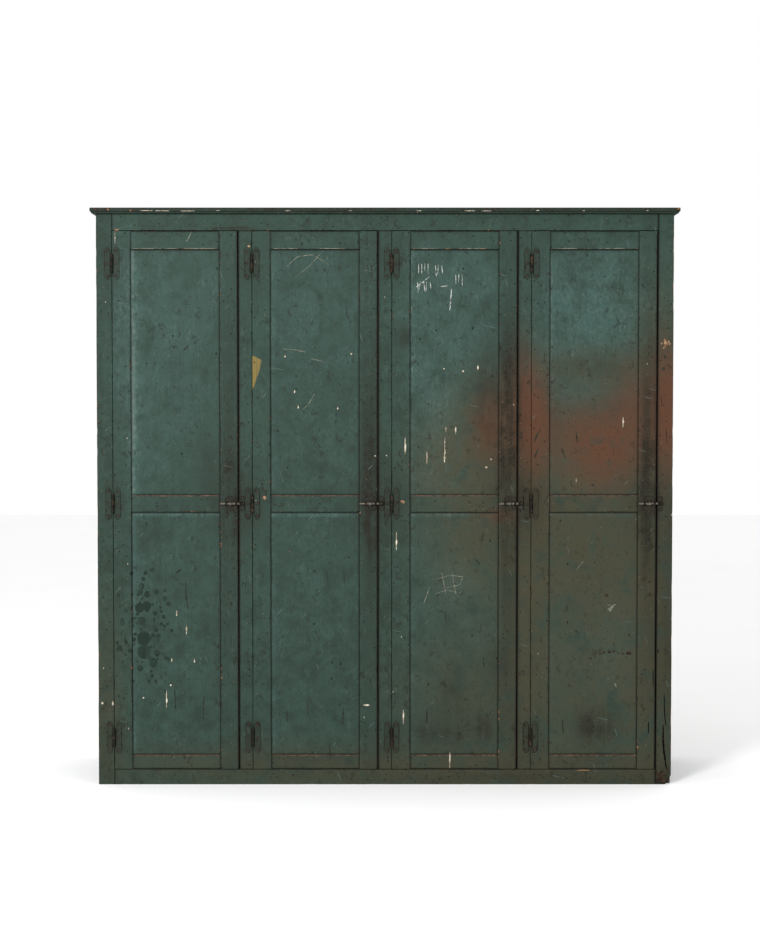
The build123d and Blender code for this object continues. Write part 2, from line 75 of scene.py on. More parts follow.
# soft stains on the front: (x, z, half width, half height, strength), in metres
RED_STAINS = [
    (0.505, 1.215, 0.045, 0.140, 1.25),
    (0.460, 1.270, 0.035, 0.160, 0.90),
    (0.412, 1.210, 0.030, 0.150, 0.45),
    (0.730, 1.140, 0.105, 0.115, 1.20),
    (0.830, 1.260, 0.070, 0.120, 0.65),
    (0.945, 1.250, 0.050, 0.170, 1.60),
    (0.350, 1.210, 0.050, 0.100, 0.70),
    (0.600, 1.190, 0.080, 0.090, 0.28),
    (0.385, 0.905, 0.050, 0.020, 0.50),
]
GRIME_STAINS = [
    (0.700, 0.195, 0.048, 0.043, 1.40),
    (0.755, 0.205, 0.040, 0.050, 0.45),
    (0.380, 0.400, 0.040, 0.080, 0.35),
    (0.138, 0.172, 0.030, 0.030, 1.20),
    (0.228, 0.165, 0.024, 0.032, 1.10),
    (0.330, 0.187, 0.026, 0.037, 1.30),
    (0.950, 0.020, 0.035, 0.035, 1.00),
    (0.060, 1.500, 0.032, 0.032, 0.90),
    (0.685, 1.405, 0.085, 0.032, 0.38),
    (0.412, 1.240, 0.042, 0.250, 0.80),
    (0.448, 1.220, 0.035, 0.170, 0.30),
    (0.950, 0.480, 0.032, 0.400, 0.50),
    (0.500, 0.020, 0.400, 0.030, 0.25),
    (0.300, 0.250, 0.090, 0.110, 0.12),
    (-0.560, 0.500, 0.020, 0.250, 0.20),
    (0.345, 1.300, 0.035, 0.150, 0.60),
    (-0.500, 1.862, 0.060, 0.005, 0.80),
    (0.560, 1.300, 0.030, 0.120, 0.20),
    (0.221, 0.325, 0.026, 0.060, 0.80),
    (-0.590, 1.080, 0.045, 0.120, 0.35),
    (0.230, 0.190, 0.160, 0.070, 0.25),
]
MUD_STAINS = [
    (0.225, 1.070, 0.110, 0.140, 0.90),
    (0.330, 1.200, 0.120, 0.170, 0.60),
    (0.640, 1.080, 0.330, 0.170, 0.85),
    (0.620, 0.820, 0.300, 0.190, 0.80),
    (0.720, 0.640, 0.230, 0.220, 0.60),
    (0.300, 0.800, 0.140, 0.170, 0.60),
    (0.260, 0.300, 0.200, 0.200, 0.50),
    (0.700, 0.280, 0.300, 0.220, 0.65),
    (0.910, 0.500, 0.100, 0.550, 0.80),
    (0.400, 0.040, 0.750, 0.080, 0.80),
    (-0.930, 0.300, 0.050, 0.250, 0.50),
    (0.480, 0.600, 0.070, 0.450, 0.75),
    (0.690, 1.400, 0.180, 0.060, 0.70),
    (0.920, 1.480, 0.080, 0.200, 0.50),
    (-0.500, 0.060, 0.500, 0.060, 0.45),
]
PALE_STAINS = [
    (-0.800, 1.620, 0.110, 0.180, 0.55),
    (-0.840, 1.400, 0.020, 0.500, 0.80),
    (-0.640, 1.500, 0.110, 0.260, 0.25),
    (-0.800, 1.250, 0.080, 0.160, 0.45),
    (-0.880, 1.500, 0.030, 0.300, 0.60),
    (-0.250, 1.600, 0.160, 0.200, 0.30),
    (0.210, 1.640, 0.160, 0.160, 0.70),
    (0.180, 1.450, 0.100, 0.140, 0.65),
    (0.190, 1.150, 0.050, 0.170, 2.20),
    (0.250, 1.080, 0.090, 0.100, 0.60),
    (0.640, 1.050, 0.100, 0.080, 0.40),
    (0.250, 0.690, 0.060, 0.080, 0.60),
    (0.710, 1.640, 0.180, 0.160, 1.50),
    (0.640, 1.440, 0.120, 0.120, 0.70),
    (0.780, 0.480, 0.070, 0.150, 0.50),
]
# the grime that hands leave on each lock stile, door by door
LOCK_GRIME = [0.72, 0.98, 1.00, 0.95]


def blurred(points, stains_and_highlight):
    """One minus exp(-1.4 total), where the total is the sum over the stains of strength times
    exp(-(dx/w)^2 - (dz/h)^2)."""
    x, z = points[:, X], points[:, Z]
    total = np.zeros(len(points))
    for at_x, at_z, wide, high, strength in stains_and_highlight:
        total += strength * np.exp(-(((x - at_x) / wide) ** 2) - ((z - at_z) / high) ** 2)
    return 1 - np.exp(-1.4 * total)


def outside(points):
    """One on the faces that show from the front, falling to none 14 mm behind them."""
    return np.clip((front + 0.014 - points[:, Y]) / 0.005, 0, 1)


def weathering(points):
    """Four values for each point: hand grime, red stain, mud, and paleness of the paint.
    Grime is a narrow bell across each lock stile times a tall bell about the bolt's height."""
    x, z = points[:, X], points[:, Z]
    grime = np.zeros(len(points))
    for edge, strength in zip(lock_edges, LOCK_GRIME):
        across = np.exp(-(((x - edge + 0.024) / 0.030) ** 4))
        along = 0.12 + 0.88 * np.exp(-(((z - bolt_height - 0.08) / 0.42) ** 2))
        grime = np.maximum(grime, strength * across * along)
    near_bolts = [(edge, bolt_height, 0.085, 0.11, 0.60) for edge in lock_edges]
    near_hinges = [(edge + 0.05, z, 0.045, 0.075, 0.26) for edge in (-0.96, -0.493, -0.027, 0.439)
                   for z in (0.160, 0.946, 1.746)]
    grime = np.minimum(grime + blurred(points, near_bolts + near_hinges + GRIME_STAINS), 1.0)
    grime = np.maximum(grime, 0.75 * np.clip((z - frame_top) / 0.010, 0, 1))
    on_front = outside(points)
    fields = [grime, blurred(points, RED_STAINS), blurred(points, MUD_STAINS), blurred(points, PALE_STAINS)]
    return np.stack(fields, axis=1) * on_front[:, None]


def tube(rings):
    """Points and faces of a solid whose sections are the rings, each a loop of points: quads
    join ring i to ring i + 1, and one flat face closes each end. All faces look outwards."""
    rows, around = rings.shape[:2]
    i, j = np.meshgrid(np.arange(rows - 1), np.arange(around), indexing="ij")
    k = (j + 1) % around
    quads = np.stack([i * around + j, i * around + k, (i + 1) * around + k, (i + 1) * around + j], axis=-1)
    quads = quads.reshape(-1, 4)
    points = rings.reshape(-1, 3)
    corners = points[quads]
    normals = np.cross(corners[:, 2] - corners[:, 0], corners[:, 3] - corners[:, 1])
    first_end = list(range(around))[::-1]
    last_end = list(range((rows - 1) * around, rows * around))
    if (normals * (corners.mean(axis=1) - points.mean(axis=0))).sum() < 0:
        return points, quads[:, ::-1].tolist() + [first_end[::-1], last_end[::-1]]
    return points, quads.tolist() + [first_end, last_end]


def wander(s, seed, size):
    """Smooth random line along s: a cubic blend between random heights set `size` apart."""
    heights = np.random.default_rng(seed).uniform(-1, 1, int(np.ptp(s) / size) + 4)
    t = (s - s.min()) / size
    i = t.astype(int)
    f = t - i
    f = f * f * (3 - 2 * f)
    return heights[i] * (1 - f) + heights[i + 1] * f


def spaced(low, high, step, ease):
    """Stations from low to high: close together over each eased end, `step` apart between."""
    turn = 1 - np.cos(np.linspace(0, math.pi / 2, 5))
    middle = np.linspace(low + ease, high - ease, max(2, int((high - low) / step)))[1:-1]
    return np.concatenate([low + ease * turn, middle, high - ease * turn[::-1]])


def board(name, low, high, along, step=0.006, ease=0.0012, sunk=None, wear=(1, 1, 1, 1), knocks=1.0):
    """A sawn board with eased arrises, as a rounded rectangle carried along its length.
    Corner c of the section is an arc whose radius is `ease`, or the larger one that `sunk` gives
    between two heights. The arrises are pushed in by a random line along the board, and marks
    hold the wear of each arris, falling off as exp(-distance / 5 mm)."""
    a, b = (along + 1) % 3, (along + 2) % 3
    seed = zlib.crc32(name.encode())
    chance = np.random.default_rng(seed)
    s = spaced(low[along], high[along], step, ease)
    from_end = np.minimum(s - low[along], high[along] - s)
    inset = ease - np.sqrt(np.maximum(ease**2 - np.maximum(ease - from_end, 0) ** 2, 0))
    half = np.array([high[a] - low[a], high[b] - low[b]]) / 2
    centre = np.array([high[a] + low[a], high[b] + low[b]]) / 2
    radius = np.full((len(s), 4), ease)
    if sunk:
        corner, spans, large = sunk
        for start, stop in spans:
            share = np.clip(np.minimum(s - start, stop - s) / 0.002 + 0.5, 0, 1)
            radius[:, corner] += (large - ease) * share
    signs = np.array([(-1, -1), (1, -1), (1, 1), (-1, 1)])
    sections, arris = [], []
    for c in range(4):
        sign = signs[c]
        r = radius[:, c, None]
        start_angle = math.pi + c * math.pi / 2
        angles = start_angle + np.linspace(0, math.pi / 2, 4)
        corner_a = sign[0] * (half[0] - inset[:, None] - r) + r * np.cos(angles)
        corner_b = sign[1] * (half[1] - inset[:, None] - r) + r * np.sin(angles)
        sections.append(np.stack([corner_a, corner_b], axis=-1))
        arris.append(np.full((len(s), 4), float(wear[c])))
        side = half[0] if c % 2 == 0 else half[1]
        count = max(1, int(2 * side / step) - 1)
        share = np.linspace(0, 1, count + 4)[1:-1]
        near = min(0.0022 / (2 * side), share[0] / 2)
        share = np.concatenate([[near], share, [1 - near]])
        next_r = radius[:, (c + 1) % 4, None]
        if c % 2 == 0:
            run_a = sign[0] * (half[0] - inset[:, None])
            first = run_a - sign[0] * r
            last = -run_a + sign[0] * next_r
            line = first + (last - first) * share
            fixed = np.broadcast_to(sign[1] * (half[1] - inset[:, None]), line.shape)
            sections.append(np.stack([line, fixed], axis=-1))
        else:
            run_b = sign[1] * (half[1] - inset[:, None])
            first = run_b - sign[1] * r
            last = -run_b + sign[1] * next_r
            line = first + (last - first) * share
            fixed = np.broadcast_to(sign[0] * (half[0] - inset[:, None]), line.shape)
            sections.append(np.stack([fixed, line], axis=-1))
        fall = np.maximum(
            wear[c] * np.exp(-share * 2 * side / 0.005),
            wear[(c + 1) % 4] * np.exp(-(1 - share) * 2 * side / 0.005),
        )
        arris.append(np.broadcast_to(fall, line.shape))
    section = np.concatenate(sections, axis=1)
    worn = np.concatenate(arris, axis=1)
    ends = np.exp(-from_end / 0.004)[:, None] * 0.8
    dents = np.maximum(wander(s, seed + 1, 0.035), 0) ** 3 + np.maximum(wander(s, seed + 2, 0.11), 0) ** 4
    push = knocks * 0.0011 * dents[:, None] * np.clip(worn, 0, 1) ** 2 * (from_end > 0.01)[:, None]
    length = np.maximum(np.linalg.norm(section, axis=-1), 1e-6)
    section = section * (1 - push / length)[..., None]
    points = np.zeros((len(s), section.shape[1], 3))
    points[..., a] = section[..., 0] + centre[0]
    points[..., b] = section[..., 1] + centre[1]
    points[..., along] = s[:, None]
    marks = np.zeros((len(s), section.shape[1], 4))
    marks[..., 0] = np.maximum(worn, ends)
    grain = np.zeros_like(points)
    shift = chance.uniform(0, 3, 2)
    grain[..., 0] = points[..., a] + points[..., b] + shift[0]
    grain[..., 1] = points[..., along] + shift[1]
    grain[..., 2] = chance.uniform()
    flat, faces = tube(points)
    return flat, faces, marks.reshape(-1, 4), grain.reshape(-1, 3)


def assembled(name, parts, extra_stains_and_highlight=0.0):
    """One mesh of several parts, each (points, faces, marks, grain), with what the finishes read:
    stains (grime, red, mud, pale, where pale also carries painted highlights on panel edges and
    ledges), marks (arris, crevice, oil, ochre, where crevice also carries painted shade) and grain."""
    offset, faces = 0, []
    for part in parts:
        faces += [[v + offset for v in face] for face in part[1]]
        offset += len(part[0])
    points, marks, grain = (np.concatenate([part[k] for part in parts]) for k in (0, 2, 3))
    stains_and_highlight = np.minimum(weathering(points) + extra_stains_and_highlight, 2.0)
    mesh = bpy.data.meshes.new(name)
    mesh.from_pydata(points.tolist(), [], faces)
    for title, kind, field, values in (
        ("stains_and_highlight", "FLOAT_COLOR", "color", stains_and_highlight),
        ("marks", "FLOAT_COLOR", "color", marks),
        ("grain", "FLOAT_VECTOR", "vector", grain),
    ):
        layer = mesh.attributes.new(title, kind, "POINT")
        layer.data.foreach_set(field, values.astype(np.float32).ravel())
    mesh.shade_smooth()
    flat_ends = [polygon for polygon in mesh.polygons if polygon.loop_total > 4]
    for polygon in flat_ends:
        polygon.use_smooth = False
    piece = bpy.data.objects.new(name, mesh)
    bpy.context.scene.collection.objects.link(piece)
    return piece


def fit(piece, node, finish, body):
    """The piece takes the place of its node, gets its finish and rides on its body."""
    piece.data.materials.append(finish)
    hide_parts(node)
    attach(piece, body)


class Finish:
    """A material's node tree, with one short call for each kind of step that a finish needs."""

    def __init__(self, name):
        self.material = bpy.data.materials.new(name)
        self.material.use_nodes = True
        self.tree = self.material.node_tree
        self.shader = self.tree.nodes["Principled BSDF"]

    def put(self, socket, value):
        """Link a node's output to a socket, or set the socket to a plain value."""
        if isinstance(value, bpy.types.NodeSocket):
            self.tree.links.new(value, socket)
        elif isinstance(value, tuple) and len(value) == 3 and socket.type == "RGBA":
            socket.default_value = (*value, 1.0)
        else:
            socket.default_value = value

    def place(self):
        """Where a point lies on the cabinet, in metres."""
        return self.tree.nodes.new("ShaderNodeTexCoord").outputs["Object"]

    def layer(self, name):
        """The values that the mesh carries under this name, as (three of them, the fourth)."""
        node = self.tree.nodes.new("ShaderNodeAttribute")
        node.attribute_name = name
        return node.outputs["Vector"], node.outputs["Alpha"]

    def parts(self, vector):
        """The three components of a vector or a colour."""
        node = self.tree.nodes.new("ShaderNodeSeparateXYZ")
        self.put(node.inputs[0], vector)
        return node.outputs

    def joined(self, x, y, z):
        """A vector from its three components."""
        node = self.tree.nodes.new("ShaderNodeCombineXYZ")
        for socket, value in zip(node.inputs, (x, y, z)):
            self.put(socket, value)
        return node.outputs[0]

    def maths(self, operation, a, b=0.0, c=0.0, clamp=False):
        """One step of arithmetic on up to three values."""
        node = self.tree.nodes.new("ShaderNodeMath")
        node.operation = operation
        node.use_clamp = clamp
        for socket, value in zip(node.inputs, (a, b, c)):
            self.put(socket, value)
        return node.outputs[0]

    def times(self, a, b, clamp=False):
        """The product a b."""
        return self.maths("MULTIPLY", a, b, clamp=clamp)

    def added(self, a, b, c):
        """The sum a b + c."""
        return self.maths("MULTIPLY_ADD", a, b, c)

    def stretched(self, across, along, number, wide, long):
        """A place in the board's grain, scaled differently across the board and along it."""
        return self.joined(self.times(across, wide), self.times(along, long), number)

    def scaled(self, vector, size):
        """A vector scaled by a size for each axis."""
        node = self.tree.nodes.new("ShaderNodeVectorMath")
        node.operation = "MULTIPLY"
        self.put(node.inputs[0], vector)
        self.put(node.inputs[1], size)
        return node.outputs[0]

    def cloud(self, where, scale, detail=4.0, roughness=0.55, bend=0.0):
        """Fractal noise between nought and one."""
        node = self.tree.nodes.new("ShaderNodeTexNoise")
        self.put(node.inputs["Vector"], where)
        for title, value in (("Scale", scale), ("Detail", detail), ("Roughness", roughness),
                             ("Distortion", bend)):
            node.inputs[title].default_value = value
        return node.outputs["Fac"]

    def cells(self, where, scale):
        """Distance to the nearest of many scattered dots, and a random number for each dot."""
        node = self.tree.nodes.new("ShaderNodeTexVoronoi")
        self.put(node.inputs["Vector"], where)
        node.inputs["Scale"].default_value = scale
        return node.outputs["Distance"], self.parts(node.outputs["Color"])

    def step(self, value, low, high, top=1.0):
        """Zero below low, top above high, and a smooth rise between."""
        node = self.tree.nodes.new("ShaderNodeMapRange")
        node.interpolation_type = "SMOOTHSTEP"
        for title, number in (("Value", value), ("From Min", low), ("From Max", high), ("To Max", top)):
            self.put(node.inputs[title], number)
        return node.outputs[0]

    def mix(self, share, first, second):
        """A colour that share of the way from the first to the second."""
        node = self.tree.nodes.new("ShaderNodeMix")
        node.data_type = "RGBA"
        self.put(node.inputs["Factor"], share)
        self.put(node.inputs["A"], first)
        self.put(node.inputs["B"], second)
        return node.outputs["Result"]

    def surface(self, colour, roughness, height, depth, gloss=0.35, metallic=0.0):
        """Colour, roughness and relief of the shader; depth is the relief's height in metres."""
        bump = self.tree.nodes.new("ShaderNodeBump")
        bump.inputs["Strength"].default_value = 1.0
        bump.inputs["Distance"].default_value = depth
        self.put(bump.inputs["Height"], height)
        self.put(self.shader.inputs["Base Color"], colour)
        self.put(self.shader.inputs["Roughness"], roughness)
        self.put(self.shader.inputs["Metallic"], metallic)
        self.put(self.shader.inputs["Normal"], bump.outputs[0])
        self.shader.inputs["Specular IOR Level"].default_value = gloss
        return self.material


def dots(finish, where, scale, share, size):
    """Scattered spots: a share of the cells hold one, of up to `size` of the cell's width."""
    distance, chance = finish.cells(where, scale)
    here = finish.step(chance[0], 1.0 - share, 1.0 - share + 0.01)
    reach = finish.times(chance[1], size)
    inner = finish.times(reach, 0.6)
    spot = finish.maths("SUBTRACT", 1.0, finish.step(distance, inner, reach))
    return finish.times(here, spot)


# scratches: (lean, cells per metre across, cells per metre along, share, colour, strength)
SCRATCHES = [
    (0.35, 120.0, 11.0, 0.075, CHALKY, 0.60),
    (-0.75, 130.0, 16.0, 0.060, CHALKY, 0.60),
    (1.35, 130.0, 9.0, 0.045, CHALKY, 0.50),
    (0.05, 90.0, 7.0, 0.080, SOOT, 0.75),
    (0.80, 100.0, 20.0, 0.080, SOOT, 0.85),
]
PAINTED_IRON = (0.0140, 0.0135, 0.0075)
IRON_RIM = (0.0055, 0.0042, 0.0028)
FLAKED_IRON = (0.0560, 0.0350, 0.0200)


def old_paint(name, bluer=0.0, rusty=False):
    """Brushed oil paint over wood, or over iron where rusty: cloudy tone, brush marks along the
    board, the stains and marks that the mesh carries (painted highlights and painted shade among
    them), spatter, scratches, and chips at arrises."""
    f = Finish(name)
    place = f.place()
    grain, _ = f.layer("grain")
    stains_and_highlight, pale = f.layer("stains_and_highlight")
    marks, ochre = f.layer("marks")
    grime, red, mud = f.parts(stains_and_highlight)
    arris, crevice, oil = f.parts(marks)
    across, along, number = f.parts(grain)

    cloud = f.cloud(place, 3.2, 5.0, 0.6)
    mottle = f.cloud(place, 26.0, 8.0, 0.66)
    patchy = f.cloud(place, 11.0, 6.0, 0.62, 0.6)
    fine = f.cloud(place, 230.0, 5.0, 0.65)
    grit = f.cloud(f.scaled(place, (1.0, 1.0, 0.6)), 95.0, 6.0, 0.7)
    brush = f.cloud(f.stretched(across, along, number, 330.0, 9.0), 1.0, 5.0, 0.6)
    streak = f.cloud(f.stretched(across, along, number, 38.0, 3.4), 1.0, 4.0, 0.6)

    # the coat itself: cloudy, mottled, a little streaky, and paler where it has bloomed and where the stains
    # carry a painted highlight
    tone = f.added(mottle, 0.56, f.times(cloud, 0.19))
    tone = f.added(streak, 0.16, tone)
    tone = f.added(fine, 0.22, tone)
    tone = f.added(grit, 0.22, tone)
    tone = f.added(number, 0.05, tone)
    colour = f.mix(f.step(tone, 0.56, 0.80), PAINT_DARK, PAINT)
    lighter = f.added(pale, 0.75, bluer)
    lighter = f.times(lighter, f.step(patchy, 0.28, 0.60), clamp=True)
    colour = f.mix(lighter, colour, PAINT_PALE)
    bloom_and_highlight = f.times(f.times(pale, pale), 0.50)
    bloom_and_highlight = f.maths("ADD", bloom_and_highlight, f.step(patchy, 0.46, 0.66, 0.20))
    colour = f.mix(f.times(f.step(grit, 0.48, 0.66), bloom_and_highlight), colour, CHALKY)
    colour = f.mix(f.step(brush, 0.54, 0.32, 0.26), colour, PAINT_DARK)
    # painted highlight: where the paleness goes past one, along panel edges and the ledges under them, the
    # paint turns chalky
    wear_and_highlight = f.times(f.step(pale, 1.0, 2.0, 0.75), f.step(streak, 0.34, 0.56))

    # what has soaked in or settled: mud, the red stain, and the black of hands and soot
    muddy = f.added(patchy, 0.55, f.times(mottle, 0.45))
    colour = f.mix(f.times(mud, f.step(muddy, 0.28, 0.55, 0.97)), colour, MUD)
    colour = f.mix(f.times(red, f.step(mottle, 0.10, 0.52, 0.95)), colour, RED_STAIN)
    # the painted highlight of panel edges and ledges, in chalky paint
    colour = f.mix(wear_and_highlight, colour, CHALKY)
    smear = f.added(streak, 0.50, f.times(mottle, 0.50))
    dirt_and_shade = f.times(grime, f.step(smear, 0.30, 0.60), clamp=True)
    dirt_and_shade = f.times(dirt_and_shade, f.step(fine, 0.20, 0.52))
    colour = f.mix(dirt_and_shade, colour, SOOT)
    smudge_share = f.added(grime, 0.40, 0.50)
    smudge = f.cloud(f.scaled(place, (1.0, 1.0, 0.7)), 50.0, 7.0, 0.72, 0.5)
    smudge_share = f.times(smudge_share, f.step(patchy, 0.42, 0.56))
    colour = f.mix(f.times(f.step(smudge, 0.570, 0.61), smudge_share), colour, SOOT)

    rim = f.added(grit, 0.16, oil)
    oily = f.step(f.added(mottle, 0.10, rim), 0.590, 0.630)
    colour = f.mix(f.times(oily, f.step(patchy, 0.26, 0.60, 0.92)), colour, OIL)
    soft_ochre = f.step(f.added(mottle, 0.25, ochre), 0.61, 0.64)
    colour = f.mix(f.times(soft_ochre, f.step(brush, 0.30, 0.46, 0.92)), colour, OCHRE)

    # spatter and knocks: dark pits, tan flecks down to the wood, specks of other paints
    tall = f.scaled(place, (1.0, 1.0, 0.55))
    dark_spots = f.maths("MAXIMUM", dots(f, place, 88.0, 0.30, 0.29), dots(f, tall, 34.0, 0.20, 0.15))
    colour = f.mix(f.times(dark_spots, 0.85), colour, CREVICE)
    tan_spots = f.maths("MAXIMUM", dots(f, tall, 130.0, 0.075, 0.30), dots(f, tall, 47.0, 0.030, 0.12))
    colour = f.mix(f.times(tan_spots, 0.75), colour, BARE_WOOD)
    colour = f.mix(f.times(dots(f, tall, 72.0, 0.055, 0.12), 0.8), colour, CREAM)

    # scratches: very long thin dots on turned axes, each set leaning its own way
    x, y, z = f.parts(place)
    for lean, wide, long, share, tint, strength in SCRATCHES:
        u = f.added(x, math.cos(lean) * wide, f.times(z, math.sin(lean) * wide))
        v = f.added(z, math.cos(lean) * long, f.times(x, -math.sin(lean) * long))
        u = f.added(grit, 0.25, u)
        dash = dots(f, f.joined(u, v, f.times(y, 9.0)), 1.0, share, 0.28)
        dash = f.times(dash, f.step(grit, 0.36, 0.50, strength))
        colour = f.mix(dash, colour, tint)

    # worn arrises: a dark rim of old dirt round each chip, bare wood or rust inside it
    bite = f.cloud(place, 62.0, 5.0, 0.65)
    edge = f.added(f.maths("SUBTRACT", bite, 0.5), 2.3, arris)
    edge = f.added(f.maths("SUBTRACT", cloud, 0.5), 1.0, edge)
    chip = f.step(edge, 1.20, 1.27)
    if rusty:
        colour = f.mix(0.30, colour, PAINTED_IRON)
        colour = f.mix(f.step(edge, 0.40, 0.70, 0.90), colour, IRON_RIM)
        flaked = f.times(f.step(edge, 0.98, 1.10), f.step(grit, 0.44, 0.58, 0.70))
        colour = f.mix(flaked, colour, FLAKED_IRON)
    else:
        colour = f.mix(f.step(edge, 0.92, 1.20, 0.80), colour, CHIP_RIM)
        under = f.mix(f.step(fine, 0.40, 0.60), ORANGE_WOOD, BARE_WOOD)
        colour = f.mix(chip, colour, under)
    colour = f.mix(crevice, colour, CREVICE)

    rough = f.added(mottle, 0.25, 0.50)
    rough = f.added(chip, 0.15, rough)
    rough = f.added(oily, -0.15, rough)
    relief = f.added(brush, 0.40, f.times(mottle, 0.8))
    relief = f.added(fine, 0.16, relief)
    relief = f.added(chip, -0.50, relief)
    relief = f.added(dark_spots, -0.40, relief)
    return f.surface(colour, rough, relief, 0.0010, 0.10)


frame_paint = old_paint("frame_paint")


def boxed(node):
    return [list(corner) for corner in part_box(node)]


def ends_dirty(part, spans, along, reach=0.0020):
    """Darkening at each place: dirt drawn into a joint, and painted shade along an edge that a door
    closes against; the crevice mark rises as exp(-(distance / reach)^2) at each place.
    """
    points, marks = part[0], part[2]
    for at in spans:
        near = np.exp(-((np.abs(points[:, along] - at) / reach) ** 2))
        marks[:, 1] = np.maximum(marks[:, 1], 0.95 * near)


def rotten_foot(part):
    """The right stile's outer bottom corner has rotted and broken off: points inside a leaning
    cut through the corner are moved back to it, unevenly."""
    points, marks = part[0], part[2]
    right = carcass[1].x
    into = points[:, X] - (right - 0.020) - points[:, Z] * 0.62
    ragged = 0.0025 * np.sin(points[:, Y] * 900) * np.sin(points[:, Z] * 700)
    over = np.maximum(into + ragged, 0)
    points[:, X] -= over * 0.75
    points[:, Z] += over * 0.45
    marks[:, 1] = np.maximum(marks[:, 1], np.clip(1.1 - points[:, Z] / 0.030, 0, 1) * 0.8)


STILE = 0.052
# how far the painted shade reaches in from an edge that a door closes against, where the gap shades it
GAP_SHADE_REACH = 0.0034
for side, wear in (("left", (1.1, 0.6, 0.4, 0.4)), ("right", (0.8, 1.1, 0.4, 0.4))):
    node = "frame_" + side + "_stile"
    stile_low, stile_high = boxed(node)
    stile = board(node, stile_low, stile_high, Z, 0.005, 0.0015, wear=wear)
    if side == "right":
        rotten_foot(stile)
        # painted shade where the fourth door closes against the stile
        ends_dirty(stile, (stile_low[X],), X, GAP_SHADE_REACH)
    fit(assembled("frame_stile_" + side, [stile]), node, frame_paint, "cabinet")

inner_edges = (carcass[0].x + STILE, carcass[1].x - STILE)
for node, wear in (("frame_top_rail", (0.9, 0.3, 0.3, 0.5)), ("frame_bottom_rail", (0.9, 0.3, 0.3, 0.8))):
    rail_low, rail_high = boxed(node)
    rail_low[X], rail_high[X] = inner_edges
    rail = board(node, rail_low, rail_high, X, 0.006, 0.0010, wear=wear)
    ends_dirty(rail, inner_edges, X)
    piece = assembled(node + "_board", [rail])
    fit(piece, node, frame_paint, "cabinet")

for i, (mullion_low, mullion_high) in enumerate(mullions):
    node = "mullion_" + str(i + 1)
    mullion_low, mullion_high = list(mullion_low), list(mullion_high)
    mullion_low[Z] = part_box("frame_bottom_rail")[1].z
    mullion_high[Z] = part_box("frame_top_rail")[0].z
    upright = board(node, mullion_low, mullion_high, Z, 0.005, 0.0012, wear=(0.85, 0.7, 0.3, 0.3))
    ends_dirty(upright, (mullion_low[Z], mullion_high[Z]), Z)
    # painted shade where the door closes against the mullion
    ends_dirty(upright, (mullion_low[X],), X, GAP_SHADE_REACH)
    piece = assembled(node + "_board", [upright])
    fit(piece, node, frame_paint, "cabinet")

# ---------------------------------------------------------------------------------------------
# Doors. Each is a mortised frame of two stiles and three rails round two thin flat panels that
# lie in grooves. The front arrises round the panels are eased off, and stop at each rail.
# ---------------------------------------------------------------------------------------------

ROUND_PANEL = 0.0032
door_paint = old_paint("door_paint", 0.04)
panel_paint = old_paint("panel_paint", 0.22)

# oil spatter low on the first door: (x, z, radius) of the large blots, in metres
BLOTS = [
    (-0.816, 0.668, 0.0095), (-0.821, 0.649, 0.009), (-0.797, 0.641, 0.010), (-0.766, 0.649, 0.008),
    (-0.738, 0.626, 0.008), (-0.727, 0.609, 0.007), (-0.823, 0.595, 0.015), (-0.799, 0.602, 0.014),
    (-0.770, 0.576, 0.007), (-0.809, 0.493, 0.021), (-0.809, 0.447, 0.021), (-0.777, 0.408, 0.013),
    (-0.889, 0.459, 0.010), (-0.765, 0.439, 0.008), (-0.816, 0.551, 0.013), (-0.932, 0.570, 0.005),
    (-0.880, 0.545, 0.008), (-0.868, 0.480, 0.006), (-0.822, 0.392, 0.010), (-0.760, 0.500, 0.007),
]
OCHRE_PATCH = [(-0.446, 1.441), (-0.4105, 1.424), (-0.4235, 1.380), (-0.4475, 1.312), (-0.4500, 1.385)]


def oil_spatter(points):
    """Largest, over the blots, of 1 - distance / (2 radius): a half at each blot's rim."""
    chance = np.random.default_rng(11)
    small = np.stack([
        -0.805 + 0.050 * chance.standard_normal(90),
        0.500 + 0.105 * chance.standard_normal(90),
        chance.uniform(0.0030, 0.0070, 90),
    ], axis=1)
    blots = np.concatenate([np.array(BLOTS), small])
    gap = np.hypot(points[:, X, None] - blots[:, 0], (points[:, Z, None] - blots[:, 1]) * 0.92)
    return np.clip(1 - gap / (2 * blots[:, 2]), 0, 1).max(axis=1) * outside(points)


def inside_patch(points, outline):
    """Distance into a convex outline given clockwise, as 0.5 at its edge plus 20 per metre."""
    depth = np.full(len(points), 1.0)
    for (x0, z0), (x1, z1) in zip(outline, outline[1:] + outline[:1]):
        length = math.hypot(x1 - x0, z1 - z0)
        side = ((points[:, X] - x0) * (z1 - z0) - (points[:, Z] - z0) * (x1 - x0)) / length
        depth = np.minimum(depth, side)
    return np.clip(0.5 + depth * 20, 0, 1)


# painted highlight along the hinge side of each upper and lower panel, where light from the upper left
# catches its edge: how much paler the paint is made there
EDGE_HIGHLIGHT = {"upper_panel": (2.0, 1.1, 1.2, 1.1), "lower_panel": (1.1, 0.9, 0.9, 0.9)}


